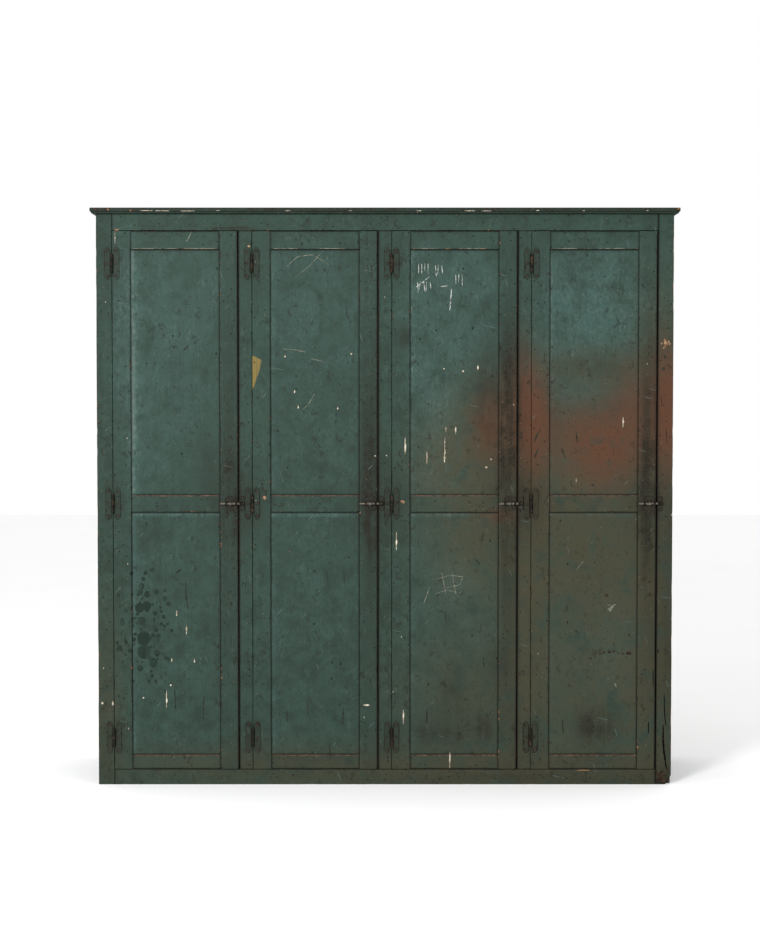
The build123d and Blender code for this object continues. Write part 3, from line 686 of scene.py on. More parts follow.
def panel(name, low, high, frame_low, frame_high, step):
    """A thin board, a little hollow across its width, its grid drawn in towards the edges that
    show; the crevice mark there, dirt and painted shade where the frame overhangs the panel, is
    exp(-(distance / reach)^2), reaching furthest at the top, where the rail's shadow falls."""
    part = board(name, low, high, Z, step, 0.0008, wear=(0, 0, 0, 0), knocks=0)
    points, marks = part[0], part[2]
    part[2][:, 0] = 0
    for k in (X, Z):
        from_edge = np.minimum(points[:, k] - low[k], high[k] - points[:, k])
        drawn_in = [0, 0.008, 0.0092, 0.0108, 0.017, 0.040, 1]
        moved = np.interp(from_edge, [0, 0.008, 0.012, 0.016, 0.024, 0.040, 1], drawn_in)
        points[:, k] += (moved - from_edge) * np.where(points[:, k] - low[k] < high[k] - points[:, k], 1, -1)
    middle = (low[X] + high[X]) / 2
    across = (points[:, X] - middle) / (high[X] - middle)
    points[:, Y] += 0.0006 * (1 - across**2) * (points[:, Y] < (low[Y] + high[Y]) / 2)
    # painted shade with some dirt: the panel is darkened along the frame's edges, most under the top rail
    sides = np.minimum(points[:, X] - frame_low[0], frame_high[0] - points[:, X])
    top = frame_high[1] - points[:, Z]
    foot = points[:, Z] - frame_low[1]
    dirt_and_shade = np.maximum(np.exp(-((sides / 0.0030) ** 2)), np.exp(-((top / 0.0045) ** 2)))
    marks[:, 1] = np.clip(np.maximum(dirt_and_shade, 0.75 * np.exp(-((foot / 0.003) ** 2))), 0, 0.98)
    return part


for door in (1, 2, 3, 4):
    body = "door_" + str(door)
    named = body + "_"
    hinge_low, hinge_high = boxed(named + "hinge_stile")
    lock_low, lock_high = boxed(named + "lock_stile")
    rails_low, rails_high = boxed(named + "rails")
    inner = (hinge_high[X], lock_low[X])
    fields = []
    for part_name in ("lower_panel", "upper_panel"):
        low, high = boxed(named + part_name)
        fields.append((low[Z] + 0.008, high[Z] - 0.008))
    stiles = (
        ("hinge_stile", hinge_low, hinge_high, 1, (0.90, 0.85, 0.4, 0.4)),
        ("lock_stile", lock_low, lock_high, 0, (0.90, 0.95, 0.4, 0.4)),
    )
    for part_name, low, high, corner, wear in stiles:
        part = board(named + part_name, low, high, Z, 0.004 if door == 1 else 0.005, 0.0011,
                     sunk=(corner, fields, ROUND_PANEL), wear=wear)
        # painted shade along the lock stile's edge, in the gap
        if part_name == "lock_stile":
            ends_dirty(part, (high[X],), X, GAP_SHADE_REACH)
        if door == 1:
            part[2][:, 2] = oil_spatter(part[0])
        if part_name == "hinge_stile" and door == 2:
            part[2][:, 3] = inside_patch(part[0], OCHRE_PATCH) * (part[0][:, Y] < front + 0.001)
        piece = assembled(named + part_name + "_board", [part])
        fit(piece, named + part_name, door_paint, body)
    heights = [rails_low[Z], fields[0][0], fields[0][1], fields[1][0], fields[1][1], rails_high[Z]]
    parts, ledges = [], []
    for k in range(3):
        low = [inner[0], hinge_low[Y], heights[2 * k]]
        high = [inner[1], hinge_high[Y], heights[2 * k + 1]]
        # section corners run (front, foot), (back, foot), (back, top), (front, top)
        worn = (1.0, 0.3, 0.3, 1.12 if k < 2 else 0.9)
        rail = board(named + "rail_" + str(k), low, high, X, 0.006, 0.0009, wear=worn)
        ends_dirty(rail, inner, X)
        # painted shade along the door's top and bottom edges, in the gap
        ends_dirty(rail, (rails_low[Z], rails_high[Z]), Z, GAP_SHADE_REACH)
        on_ledge = np.exp(-(((rail[0][:, Z] - high[Z]) / 0.0022) ** 2)) * (rail[0][:, Y] < front + 0.003)
        ledges.append(on_ledge * (k < 2))
        parts.append(rail)
    # rubbing and damp have turned the ledge under each panel a dull pinkish brown; it is also made paler, a
    # painted highlight where the upward-facing ledge catches the light
    piece = assembled(named + "rail_boards", parts, np.concatenate(ledges)[:, None] * (0, 0.75, 0, 1.5))
    fit(piece, named + "rails", door_paint, body)
    for part_name, field in zip(("lower_panel", "upper_panel"), fields):
        low, high = boxed(named + part_name)
        spattered = door == 1 and part_name == "lower_panel"
        step = 0.0034 if spattered else 0.0050
        part = panel(named + part_name, low, high, (inner[0], field[0]), (inner[1], field[1]), step)
        if spattered:
            part[2][:, 2] = oil_spatter(part[0])
        # painted highlight: the paint is made paler along the hinge side of each panel and in a band just
        # under the top of each lower panel, where the light falls on them
        from_hinge_side = np.maximum(part[0][:, X] - inner[0] - 0.003, 0)
        wear_and_highlight = EDGE_HIGHLIGHT[part_name][door - 1] * np.exp(-from_hinge_side / 0.009)
        if part_name == "lower_panel":
            from_top = field[1] - part[0][:, Z]
            wear_and_highlight = wear_and_highlight + 1.3 * np.exp(-(((from_top - 0.009) / 0.006) ** 2))
        wear_and_highlight = wear_and_highlight * outside(part[0])
        piece = assembled(named + part_name + "_board", [part], wear_and_highlight[:, None] * (0, 0, 0, 1))
        fit(piece, named + part_name, panel_paint, body)

# ---------------------------------------------------------------------------------------------
# Sides. Four upright boards each, tongued and grooved, with a small bevel at every joint,
# nailed behind the face frame and painted outside with it.
# ---------------------------------------------------------------------------------------------


def side_by_side(name, low, high, across, count, along, step, bevel, ends=0.3):
    """Boards that fill a box, cut into equal widths; joints are bevelled, outer arrises eased."""
    parts = []
    width = (high[across] - low[across]) / count
    for i in range(count):
        part_low, part_high = list(low), list(high)
        part_low[across] = low[across] + i * width
        part_high[across] = low[across] + (i + 1) * width
        part = board(name + str(i), part_low, part_high, along, step, bevel,
                     wear=(0.6, 0.6, 0.6, 0.6), knocks=0.5)
        for at in (part_low[across], part_high[across]):
            near = np.exp(-np.abs(part[0][:, across] - at) / 0.0012)
            part[2][:, 1] = np.maximum(part[2][:, 1], 0.6 * near)
        parts.append(part)
    return parts


side_pieces = []
for side in ("left", "right"):
    node = side + "_side_boards"
    low, high = boxed(node)
    parts = side_by_side(node, low, high, Y, 4, Z, 0.012, 0.0022)
    side_pieces.append(assembled(side + "_side_boarding", parts))
    fit(side_pieces[-1], node, frame_paint, "cabinet")

# ---------------------------------------------------------------------------------------------
# Cornice. Four thick top boards that run from end to end and overhang the front and the sides.
# Their outer edge is moulded: a nose with rounded arrises, a small step under it, and a
# quarter round that meets the face frame.
# ---------------------------------------------------------------------------------------------

low, high = boxed("cornice_boards")
OVERHANG = high[X] - carcass[1].x
NOSE = 0.013
STEP = 0.003
ROUND = 0.007
NOSE_EASE = 0.0025
nose_foot = high[Z] - NOSE
waist = OVERHANG - STEP


def moulding_out(z):
    """How far the edge stands out at a height: a quarter circle up to the waist, then the nose,
    whose arrises are quarter circles too."""
    lower = waist - ROUND + np.sqrt(np.clip(ROUND**2 - (nose_foot - z) ** 2, 0, None))
    from_arris = np.maximum(np.maximum(nose_foot + NOSE_EASE - z, z - (high[Z] - NOSE_EASE)), 0)
    upper = OVERHANG - NOSE_EASE + np.sqrt(np.clip(NOSE_EASE**2 - from_arris**2, 0, None))
    return np.where(z < nose_foot, lower, upper)


def moulding_foot(out):
    """Lowest point of the edge at a distance out from the carcass: the same curves, read upright."""
    lower = nose_foot - np.sqrt(np.clip(ROUND**2 - np.maximum(out - waist + ROUND, 0) ** 2, 0, None))
    nose = nose_foot + NOSE_EASE - np.sqrt(
        np.clip(NOSE_EASE**2 - np.maximum(out - OVERHANG + NOSE_EASE, 0) ** 2, 0, None))
    return np.where(out > waist, nose, np.maximum(lower, low[Z]))


def moulding_crown(out):
    return high[Z] - NOSE_EASE + np.sqrt(
        np.clip(NOSE_EASE**2 - np.maximum(out - OVERHANG + NOSE_EASE, 0) ** 2, 0, None))


def cornice_board(index, back, front_edge, moulded):
    """Sections across the board, carried from end to end: each is as high as the end moulding
    lets it be there, and its front follows the moulding or stays straight."""
    half = carcass[1].x
    turn = np.sin(np.linspace(0, math.pi / 2, 7))
    outs = np.concatenate([[0], waist - ROUND + ROUND * turn, [waist + 1e-4],
                           OVERHANG - NOSE_EASE + NOSE_EASE * turn * 0.999])
    middle = np.linspace(-half, half, 360)[1:-1]
    s = np.concatenate([-(half + outs[::-1]), middle, half + outs])
    out = np.maximum(np.abs(s) - half, 0)[:, None]
    foot, crown = moulding_foot(out), moulding_crown(out)
    t = np.concatenate([np.linspace(0, 0.34, 9), np.linspace(0.36, 0.50, 6), np.linspace(0.6, 0.86, 4),
                        np.linspace(0.88, 1, 5)])
    edge_z = foot + t * (crown - foot)
    if moulded:
        edge_y = front - moulding_out(edge_z)
    else:
        edge_y = np.full(edge_z.shape, front_edge)
    share = np.linspace(0, 1, 14)[1:]
    foot_y = back + (edge_y[:, :1] - back) * share[:-1]
    top_y = edge_y[:, -1:] + (back - edge_y[:, -1:]) * share
    around_y = np.concatenate([np.full(foot.shape, back), foot_y, edge_y, top_y], axis=1)
    around_z = np.concatenate([foot, np.broadcast_to(foot, foot_y.shape), edge_z,
                               np.broadcast_to(crown, top_y.shape)], axis=1)
    points = np.stack([np.broadcast_to(s[:, None], around_y.shape), around_y, around_z], axis=-1)
    dents = np.maximum(wander(s, 40 + index, 0.05), 0) ** 3
    nose = np.clip((front - points[..., Y] - waist) / STEP, 0, 1) * (points[..., Z] > nose_foot)
    points[..., Y] += 0.0022 * dents[:, None] * nose
    flat, faces = tube(points)
    marks = np.zeros((len(flat), 4))
    beyond = np.maximum(front - flat[:, Y], np.abs(flat[:, X]) - half)
    rubbed_nose = np.exp(-np.abs(OVERHANG - beyond) / 0.004)
    marks[:, 0] = np.where(flat[:, Z] > nose_foot - 0.001, rubbed_nose, 0) * 0.85
    # painted shade: dark lines where the nose steps in and along the underside of the overhang
    marks[:, 1] = 0.9 * np.exp(-np.hypot(beyond - waist, flat[:, Z] - nose_foot) / 0.0018)
    marks[:, 1] = np.maximum(marks[:, 1],
                             0.85 * np.exp(-np.abs(flat[:, Z] - low[Z]) / 0.0016) * (beyond > 0.004))
    right_end = np.exp(-(((flat[:, X] - half - 0.012) / 0.014) ** 2))
    marks[:, 0] += 0.35 * right_end
    grain = np.stack([flat[:, Y] + flat[:, Z] + index, flat[:, X], np.full(len(flat), 0.23 * index)], axis=1)
    return flat, faces, marks, grain


depth = (high[Y] - low[Y]) / 4
parts = []
for i in range(4):
    parts.append(cornice_board(i, low[Y] + (i + 1) * depth - 0.0002, low[Y] + i * depth + 0.0002, i == 0))
piece = assembled("cornice_top_boards", parts)
fit(piece, "cornice_boards", frame_paint, "cabinet")

# ---------------------------------------------------------------------------------------------
# Inside and back. Partitions, floors, hat shelves, cleats, door stops and peg rails of sawn
# softwood that was never painted, grey with dust and handling.
# ---------------------------------------------------------------------------------------------

WOOD = (0.190, 0.122, 0.068)
WOOD_DARK = (0.080, 0.045, 0.023)
WOOD_GREY = (0.145, 0.122, 0.092)
KNOT = (0.050, 0.026, 0.014)
DAMP_STAIN = (0.055, 0.042, 0.030)


def sawn_wood(name, grey=0.5):
    """Softwood: growth lines stretched along the board, knots where they bunch, a grey bloom."""
    f = Finish(name)
    place = f.place()
    grain, _ = f.layer("grain")
    marks, _ = f.layer("marks")
    arris, crevice, _ = f.parts(marks)
    across, along, number = f.parts(grain)
    number = f.times(number, 40.0)
    drift = f.cloud(f.stretched(across, along, number, 6.0, 0.8), 1.0, 3.0, 0.5)
    lines = f.added(drift, 9.0, f.times(across, 70.0))
    ripple = f.cloud(f.joined(lines, f.times(along, 1.5), number), 1.0, 4.0, 0.65)
    fibre = f.cloud(f.stretched(across, along, number, 700.0, 16.0), 1.0, 3.0, 0.6)
    distance, chance = f.cells(f.stretched(across, along, number, 6.0, 2.6), 1.0)
    knot = f.times(f.step(distance, 0.115, 0.070), f.step(chance[0], 0.55, 0.56))
    colour = f.mix(f.step(ripple, 0.34, 0.64), WOOD_DARK, WOOD)
    colour = f.mix(f.step(fibre, 0.60, 0.36, 0.35), colour, WOOD_DARK)
    bloom = f.cloud(place, 5.0, 6.0, 0.6)
    colour = f.mix(f.step(bloom, 0.36, 0.66, grey), colour, WOOD_GREY)
    colour = f.mix(knot, colour, KNOT)
    stain = f.cloud(place, 13.0, 5.0, 0.6)
    colour = f.mix(f.step(stain, 0.58, 0.74, 0.55), colour, DAMP_STAIN)
    colour = f.mix(f.times(crevice, 0.9), colour, CREVICE)
    relief = f.added(fibre, 0.6, ripple)
    rough = f.added(ripple, 0.15, 0.72)
    return f.surface(colour, rough, relief, 0.0007, 0.25)


inside_wood = sawn_wood("inside_wood", 0.55)
back_wood = sawn_wood("back_wood", 0.85)

# the sides were painted outside only: their inner and back faces are the same bare wood
for piece, outward in zip(side_pieces, (-1, 1)):
    faces = piece.data.polygons
    normals = np.zeros(len(faces) * 3)
    faces.foreach_get("normal", normals)
    piece.data.materials.append(inside_wood)
    unpainted = normals.reshape(-1, 3)[:, X] * outward < 0.3
    faces.foreach_set("material_index", unpainted.astype(np.int32))

for i in (1, 2, 3):
    node = "partition_" + str(i)
    low, high = boxed(node)
    piece = assembled(node + "_boards", side_by_side(node, low, high, Y, 3, Z, 0.02, 0.0020))
    fit(piece, node, inside_wood, "cabinet")

low, high = boxed("back_boards")
piece = assembled("back_boarding", side_by_side("back", low, high, X, 12, Z, 0.02, 0.0020))
fit(piece, "back_boards", back_wood, "cabinet")

SIDE_BOARD = 0.020
HALF_PARTITION = 0.009
walls = [carcass[0].x + SIDE_BOARD]
for mullion_low, mullion_high in mullions:
    middle = (mullion_low.x + mullion_high.x) / 2
    walls += [middle - HALF_PARTITION, middle + HALF_PARTITION]
walls.append(carcass[1].x - SIDE_BOARD)
bays = list(zip(walls[0::2], walls[1::2]))

for node, name in (("floor_boards", "floor_boarding"), ("hat_shelves", "hat_shelf_boards")):
    low, high = boxed(node)
    parts = []
    for i, (left, right) in enumerate(bays):
        bay_low, bay_high = [left, low[Y], low[Z]], [right, high[Y], high[Z]]
        parts += side_by_side(node + str(i), bay_low, bay_high, Y, 3, X, 0.02, 0.0020)
    fit(assembled(name, parts), node, inside_wood, "cabinet")

shelf_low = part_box("hat_shelves")[0]
cleat_low, cleat_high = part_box("bay_cleats")
CLEAT = 0.020
parts = []
for i, (left, right) in enumerate(bays):
    for foot, start in ((cleat_low.z, cleat_low.y), (shelf_low.z - CLEAT, shelf_low.y + 0.010)):
        for k, edge in enumerate((left, right - CLEAT)):
            low, high = [edge, start, foot], [edge + CLEAT, cleat_high.y, foot + CLEAT]
            parts.append(board("cleat" + str(i * 4 + k) + str(round(foot, 2)), low, high, Y, 0.02, 0.001))
fit(assembled("shelf_and_floor_cleats", parts), "bay_cleats", inside_wood, "cabinet")

low, high = boxed("door_stops")
TOP_STOP = 0.020
STOP_LAP = 0.012
stop_foot = high[Z] - TOP_STOP
parts = []
for i, (left, right) in enumerate(bays):
    opening_right = mullions[i][0].x if i < 3 else inner_edges[1]
    parts.append(board("top_stop" + str(i), [left, low[Y], stop_foot], [right, high[Y], high[Z]], X,
                       0.02, 0.001))
    upright_low = [opening_right - STOP_LAP, low[Y], low[Z]]
    parts.append(board("lock_stop" + str(i), upright_low, [right, high[Y], stop_foot], Z, 0.02, 0.001))
fit(assembled("door_stop_strips", parts), "door_stops", inside_wood, "cabinet")

low, high = boxed("peg_rails")
parts = []
for i, (left, right) in enumerate(bays):
    parts.append(board("peg_rail" + str(i), [left, low[Y], low[Z]], [right, high[Y], high[Z]], X,
                       0.015, 0.003))
fit(assembled("peg_rail_boards", parts), "peg_rails", inside_wood, "cabinet")

# ---------------------------------------------------------------------------------------------
# Coat pegs. Three turned beech pegs to a bay: a dowel in the rail, a flange, a waisted neck and
# a round head, dark and polished by use.
# ---------------------------------------------------------------------------------------------

peg_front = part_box("peg_rails")[0].y
peg_height = (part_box("peg_rails")[0].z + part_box("peg_rails")[1].z) / 2
PEG_PROFILE = [(-0.006, 0.0058), (0.0, 0.0060), (0.0002, 0.0106), (0.0010, 0.0110), (0.0028, 0.0108),
               (0.0045, 0.0085), (0.0070, 0.0064), (0.014, 0.0055), (0.026, 0.0054), (0.036, 0.0062),
               (0.042, 0.0082), (0.0465, 0.0097), (0.0500, 0.0099), (0.0540, 0.0085), (0.0565, 0.0060),
               (0.0577, 0.0030), (0.0580, 0.0006)]


def turned(profile, centre, axis, count=24, lengthwise=1):
    """A turned piece: circles about an axis, one for each (distance along it, radius) of a
    profile, which is drawn through a few turning points and filled in between them."""
    along, radius = np.array(profile).T
    t = np.linspace(0, len(along) - 1, (len(along) - 1) * lengthwise + 1)
    along = np.interp(t, np.arange(len(along)), along)
    radius = np.interp(t, np.arange(len(radius)), radius)
    turn = np.linspace(0, 2 * math.pi, count, endpoint=False)
    a, b = (axis + 1) % 3, (axis + 2) % 3
    rings = np.zeros((len(along), count, 3))
    rings[..., a] = centre[a] + radius[:, None] * np.cos(turn)
    rings[..., b] = centre[b] + radius[:, None] * np.sin(turn)
    rings[..., axis] = centre[axis] + along[:, None]
    flat, faces = tube(rings)
    grain = np.stack([flat[:, a] + flat[:, b], flat[:, axis], np.full(len(flat), 0.5)], axis=1)
    return flat, faces, np.zeros((len(flat), 4)), grain


peg_wood = sawn_wood("peg_wood", 0.15)
parts = []
for left, right in bays:
    for k in range(3):
        x = left + (k + 0.5) * (right - left) / 3
        profile = [(-out, radius) for out, radius in PEG_PROFILE]
        parts.append(turned(profile, (x, peg_front, peg_height), Y, 24, 2))
fit(assembled("turned_coat_pegs", parts), "coat_pegs", peg_wood, "cabinet")

# ---------------------------------------------------------------------------------------------
# H-hinges. Three to a door: a pair of pressed-iron leaves with pointed ends, one on the frame and
# one on the door, round a steel pin. Painted over with the wood, so the paint has cracked along
# every edge and rust shows there; the barrels have moved too often to keep any paint.
# ---------------------------------------------------------------------------------------------

LEAF_WIDTH = 0.020
LEAF_LENGTH = 0.108
LEAF_POINT = 0.011
LEAF_OFFSET = 0.005
LEAF_THICK = 0.002
AXIS_OUT = 0.005
BARREL = 0.062
MIDDLE_KNUCKLE = 0.021
KNUCKLE = 0.0045
SCREW_SPACING = 0.041
SCREW_HEAD = 0.0039
HINGE_FROM_END = 0.108
HALF_HINGE_GAP = 0.00075
HALF_KNUCKLE_GAP = 0.00015

leaf_paint = old_paint("leaf_paint", 0.0, rusty=True)
axis_y = front - AXIS_OUT
hinge_axes = [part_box("door_" + str(i) + "_hinge_stile")[0].x - HALF_HINGE_GAP for i in (1, 2, 3, 4)]
door_foot, door_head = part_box("door_1_hinge_stile")[0].z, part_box("door_1_hinge_stile")[1].z
hinge_heights = (door_foot + HINGE_FROM_END, bolt_height, door_head - HINGE_FROM_END)


def front_grain(points, number):
    """The grain of a small piece on the front: it runs upright, and the number sets its tone."""
    return np.stack([points[:, X], points[:, Z], np.full(len(points), number)], axis=1)


def hinge_leaf(x, z, side, seed):
    """A plate whose half width at height v is w, or less near the ends, where it closes as
    (1 - u^1.6): a pointed arch. Its section is a flat top with round shoulders, sunk a little
    round each screw; thickness falls as a quarter circle over the last 0.7 mm."""
    v = np.concatenate([np.linspace(-1, -0.80, 14)[:-1], np.linspace(-0.80, 0.80, 66),
                        np.linspace(0.80, 1, 14)[1:]])
    v = v * LEAF_LENGTH / 2
    u_end = np.clip((np.abs(v) - (LEAF_LENGTH / 2 - LEAF_POINT)) / LEAF_POINT, 0, 1)
    half_width = LEAF_WIDTH / 2 * np.maximum(1 - u_end**1.6, 0.02)
    t = np.concatenate([[-1, -1], np.linspace(-0.97, 0.97, 17), [1, 1]])
    height = np.array([0.0, 0.55] + [1.0] * (len(t) - 4) + [0.55, 0.0])
    centre = x + side * (LEAF_OFFSET + LEAF_WIDTH / 2)
    px = centre + half_width[:, None] * t[None, :]
    pz = np.broadcast_to((z + v)[:, None], px.shape)
    lift = LEAF_THICK * height[None, :] * np.ones_like(px)
    for up in (-1, 0, 1):
        gap = np.hypot(px - centre, pz - z - up * SCREW_SPACING)
        lift -= 0.0005 * np.exp(-((gap / 0.0052) ** 6)) * height[None, :]
    py = front - lift
    rings = np.stack([px, py, pz], axis=-1)
    flat, faces = tube(rings)
    marks = np.zeros((len(flat), 4))
    edge = (half_width[:, None] * (1 - np.abs(t[None, :]))).ravel()
    edge = np.minimum(edge, LEAF_LENGTH / 2 - np.abs(flat[:, Z] - z))
    marks[:, 0] = 1.1 * np.exp(-edge / 0.0022)
    for up in (-1, 0, 1):
        gap = np.hypot(flat[:, X] - centre, flat[:, Z] - z - up * SCREW_SPACING)
        marks[:, 0] = np.maximum(marks[:, 0], 1.0 * np.exp(-np.abs(gap - 0.0042) / 0.0018))
    grain = front_grain(flat, (seed * 0.37) % 1)
    return flat, faces, marks, grain


def knuckle(x, z, low, high, side):
    """One knuckle: a rolled tube about the pin, closed by its two flat ends, with a web to the
    leaf: a rounded bar as thick as the leaf."""
    ease = 0.0006
    span = high - low
    profile = [(0, KNUCKLE - 0.0016), (0, KNUCKLE - ease), (ease, KNUCKLE), (span * 0.5, KNUCKLE),
               (span - ease, KNUCKLE), (span, KNUCKLE - ease), (span, KNUCKLE - 0.0016)]
    roll = turned(profile, (x, axis_y, z + low), Z, 28, 2)
    roll[2][:, 0] = 1.0
    near, far = sorted((x, x + side * (LEAF_OFFSET + 0.001)))
    web = board("web", [near, front - LEAF_THICK, z + low], [far, front - 0.0001, z + high], Z,
                0.004, 0.0003)
    web[2][:, 0] = 0.9
    return [roll, web]


frame_leaves = []
for i, x in enumerate(hinge_axes):
    door_leaves = []
    for k, z in enumerate(hinge_heights):
        half_middle = MIDDLE_KNUCKLE / 2 - HALF_KNUCKLE_GAP
        frame_leaves.append(hinge_leaf(x, z, -1, 3 * i + k))
        frame_leaves += knuckle(x, z, MIDDLE_KNUCKLE / 2 + HALF_KNUCKLE_GAP, BARREL / 2, -1)
        frame_leaves += knuckle(x, z, -BARREL / 2, -MIDDLE_KNUCKLE / 2 - HALF_KNUCKLE_GAP, -1)
        door_leaves.append(hinge_leaf(x, z, 1, 3 * i + k + 20))
        door_leaves += knuckle(x, z, -half_middle, half_middle, 1)
    body = "door_" + str(i + 1)
    fit(assembled(body + "_leaves", door_leaves), body + "_hinge_leaves", leaf_paint, body)
fit(assembled("frame_leaves", frame_leaves), "hinge_frame_leaves", leaf_paint, "cabinet")

# ---------------------------------------------------------------------------------------------
# Hinge pins. Steel pins through the knuckles, with domed ends that stand a little proud of the
# barrels, bare and brown with rust.
# ---------------------------------------------------------------------------------------------

RUST_DARK = (0.0085, 0.0055, 0.0036)
RUST_BROWN = (0.0200, 0.0130, 0.0080)
RUST_ORANGE = (0.0520, 0.0260, 0.0120)
WORN_STEEL = (0.330, 0.290, 0.240)


def rusted_iron(name, worn=0.5):
    """Old iron: brown-black scale, orange bloom in patches, pits, and worn grey high spots."""
    f = Finish(name)
    place = f.place()
    marks, _ = f.layer("marks")
    arris, crevice, _ = f.parts(marks)
    cloud = f.cloud(place, 70.0, 5.0, 0.6)
    scale = f.cloud(place, 420.0, 5.0, 0.65)
    pits = f.cloud(place, 1100.0, 3.0, 0.6)
    colour = f.mix(f.step(scale, 0.36, 0.62), RUST_DARK, RUST_BROWN)
    colour = f.mix(f.step(cloud, 0.54, 0.74, 0.55), colour, RUST_ORANGE)
    wear_and_highlight = f.times(arris, f.step(scale, 0.40, 0.68, worn))
    colour = f.mix(wear_and_highlight, colour, WORN_STEEL)
    colour = f.mix(f.times(crevice, 0.9), colour, CREVICE)
    relief = f.added(pits, 0.4, scale)
    rough = f.added(wear_and_highlight, -0.35, 0.80)
    metal = f.times(wear_and_highlight, 0.5)
    return f.surface(colour, rough, relief, 0.0003, 0.2, metal)


rust = rusted_iron("rust", 0.15)
PIN = 0.0022
parts = []
for x in hinge_axes:
    for z in hinge_heights:
        half = BARREL / 2 + 0.001
        profile = [(-half, 0.0003), (-half + 0.0002, 0.0013), (-half + 0.001, PIN), (0, PIN),
                   (half - 0.001, PIN), (half - 0.0002, 0.0013), (half, 0.0003)]
        parts.append(turned(profile, (x, axis_y, z), Z, 20, 3))
fit(assembled("steel_hinge_pins", parts), "hinge_pins", rust, "cabinet")

# ---------------------------------------------------------------------------------------------
# Screws. Slotted countersunk wood screws, rusty, their slots left at all angles and half full
# of paint.
# ---------------------------------------------------------------------------------------------

screw_rust = rusted_iron("screw_rust", 0.15)


def screw_head(x, z, plate, turn):
    """A disc whose top is a very low dome with a slot across it, given on a grid of radius and
    angle, over a short shank: height = dome - slot depth where the distance to the slot's middle
    line is under half its width."""
    radius = np.array([1.0, 1.0, 0.95, 0.75, 0.5, 0.3, 0.14, 0.02]) * SCREW_HEAD
    drop = np.array([0.0016, 0.0003, 0.0, 0.0, 0.0, 0.0, 0.0, 0.0])
    angle = np.linspace(0, 2 * math.pi, 32, endpoint=False)
    px, pz = radius[:, None] * np.cos(angle), radius[:, None] * np.sin(angle)
    off_slot = np.abs(px * math.sin(turn) - pz * math.cos(turn))
    slot = np.clip((0.00075 - off_slot) / 0.0003, 0, 1) * 0.0007
    out = plate + 0.00015 - drop[:, None] - np.where(drop[:, None] > 0.001, 0, slot)
    rings = np.stack([x + px, front - out, z + pz], axis=-1)
    flat, faces = tube(rings)
    marks = np.zeros((len(flat), 4))
    marks[:, 1] = (slot / 0.0007 * 0.8).ravel()
    marks[:, 0] = 0.8
    grain = front_grain(flat, 0.0)
    return flat, faces, marks, grain


BOLT_ACROSS = 0.012
BOLT_UP = 0.015
KEEPER_UP = 0.018
BOLT_THICK = 0.0015
KEEPER_WIDTH = 0.0155
KEEPER_EDGE = 0.0035
plate_centres, keeper_centres = [], []
for i in (1, 2, 3, 4):
    plate_low, plate_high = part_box("door_" + str(i) + "_bolt_plate")
    plate_centres.append((plate_low.x + plate_high.x) / 2)
    opening_right = mullions[i - 1][0].x if i < 4 else inner_edges[1]
    keeper_centres.append(opening_right + KEEPER_EDGE + KEEPER_WIDTH / 2)

chance = np.random.default_rng(5)
frame_screws = []
for i, x in enumerate(hinge_axes):
    door_screws = []
    for z in hinge_heights:
        for up in (-1, 0, 1):
            at = LEAF_OFFSET + LEAF_WIDTH / 2
            frame_screws.append(screw_head(x - at, z + up * SCREW_SPACING, LEAF_THICK, chance.uniform(0, 3)))
            door_screws.append(screw_head(x + at, z + up * SCREW_SPACING, LEAF_THICK, chance.uniform(0, 3)))
    for across in (-BOLT_ACROSS, BOLT_ACROSS):
        for up in (-BOLT_UP, BOLT_UP):
            door_screws.append(screw_head(plate_centres[i] + across, bolt_height + up, BOLT_THICK,
                                          chance.uniform(0, 3)))
    for up in (-KEEPER_UP, KEEPER_UP):
        frame_screws.append(screw_head(keeper_centres[i], bolt_height + up, BOLT_THICK,
                                       chance.uniform(0, 3)))
    body = "door_" + str(i + 1)
    fit(assembled(body + "_screw_heads", door_screws), body + "_screws", screw_rust, body)
fit(assembled("frame_screw_heads", frame_screws), "frame_screws", screw_rust, "cabinet")

# ---------------------------------------------------------------------------------------------
# Barrel bolts. A lobed iron plate on the lock stile with two straps over a round rod that has a
# ball knob, and a small keeper with a hump on the frame. Plate and keeper were painted over,
# the rod never was.
# ---------------------------------------------------------------------------------------------

ROD = 0.004
ROD_OUT = 0.006
PLATE_WIDTH = 0.040
PLATE_HEIGHT = 0.050
plate_paint = old_paint("plate_paint", 0.0, rusty=True)


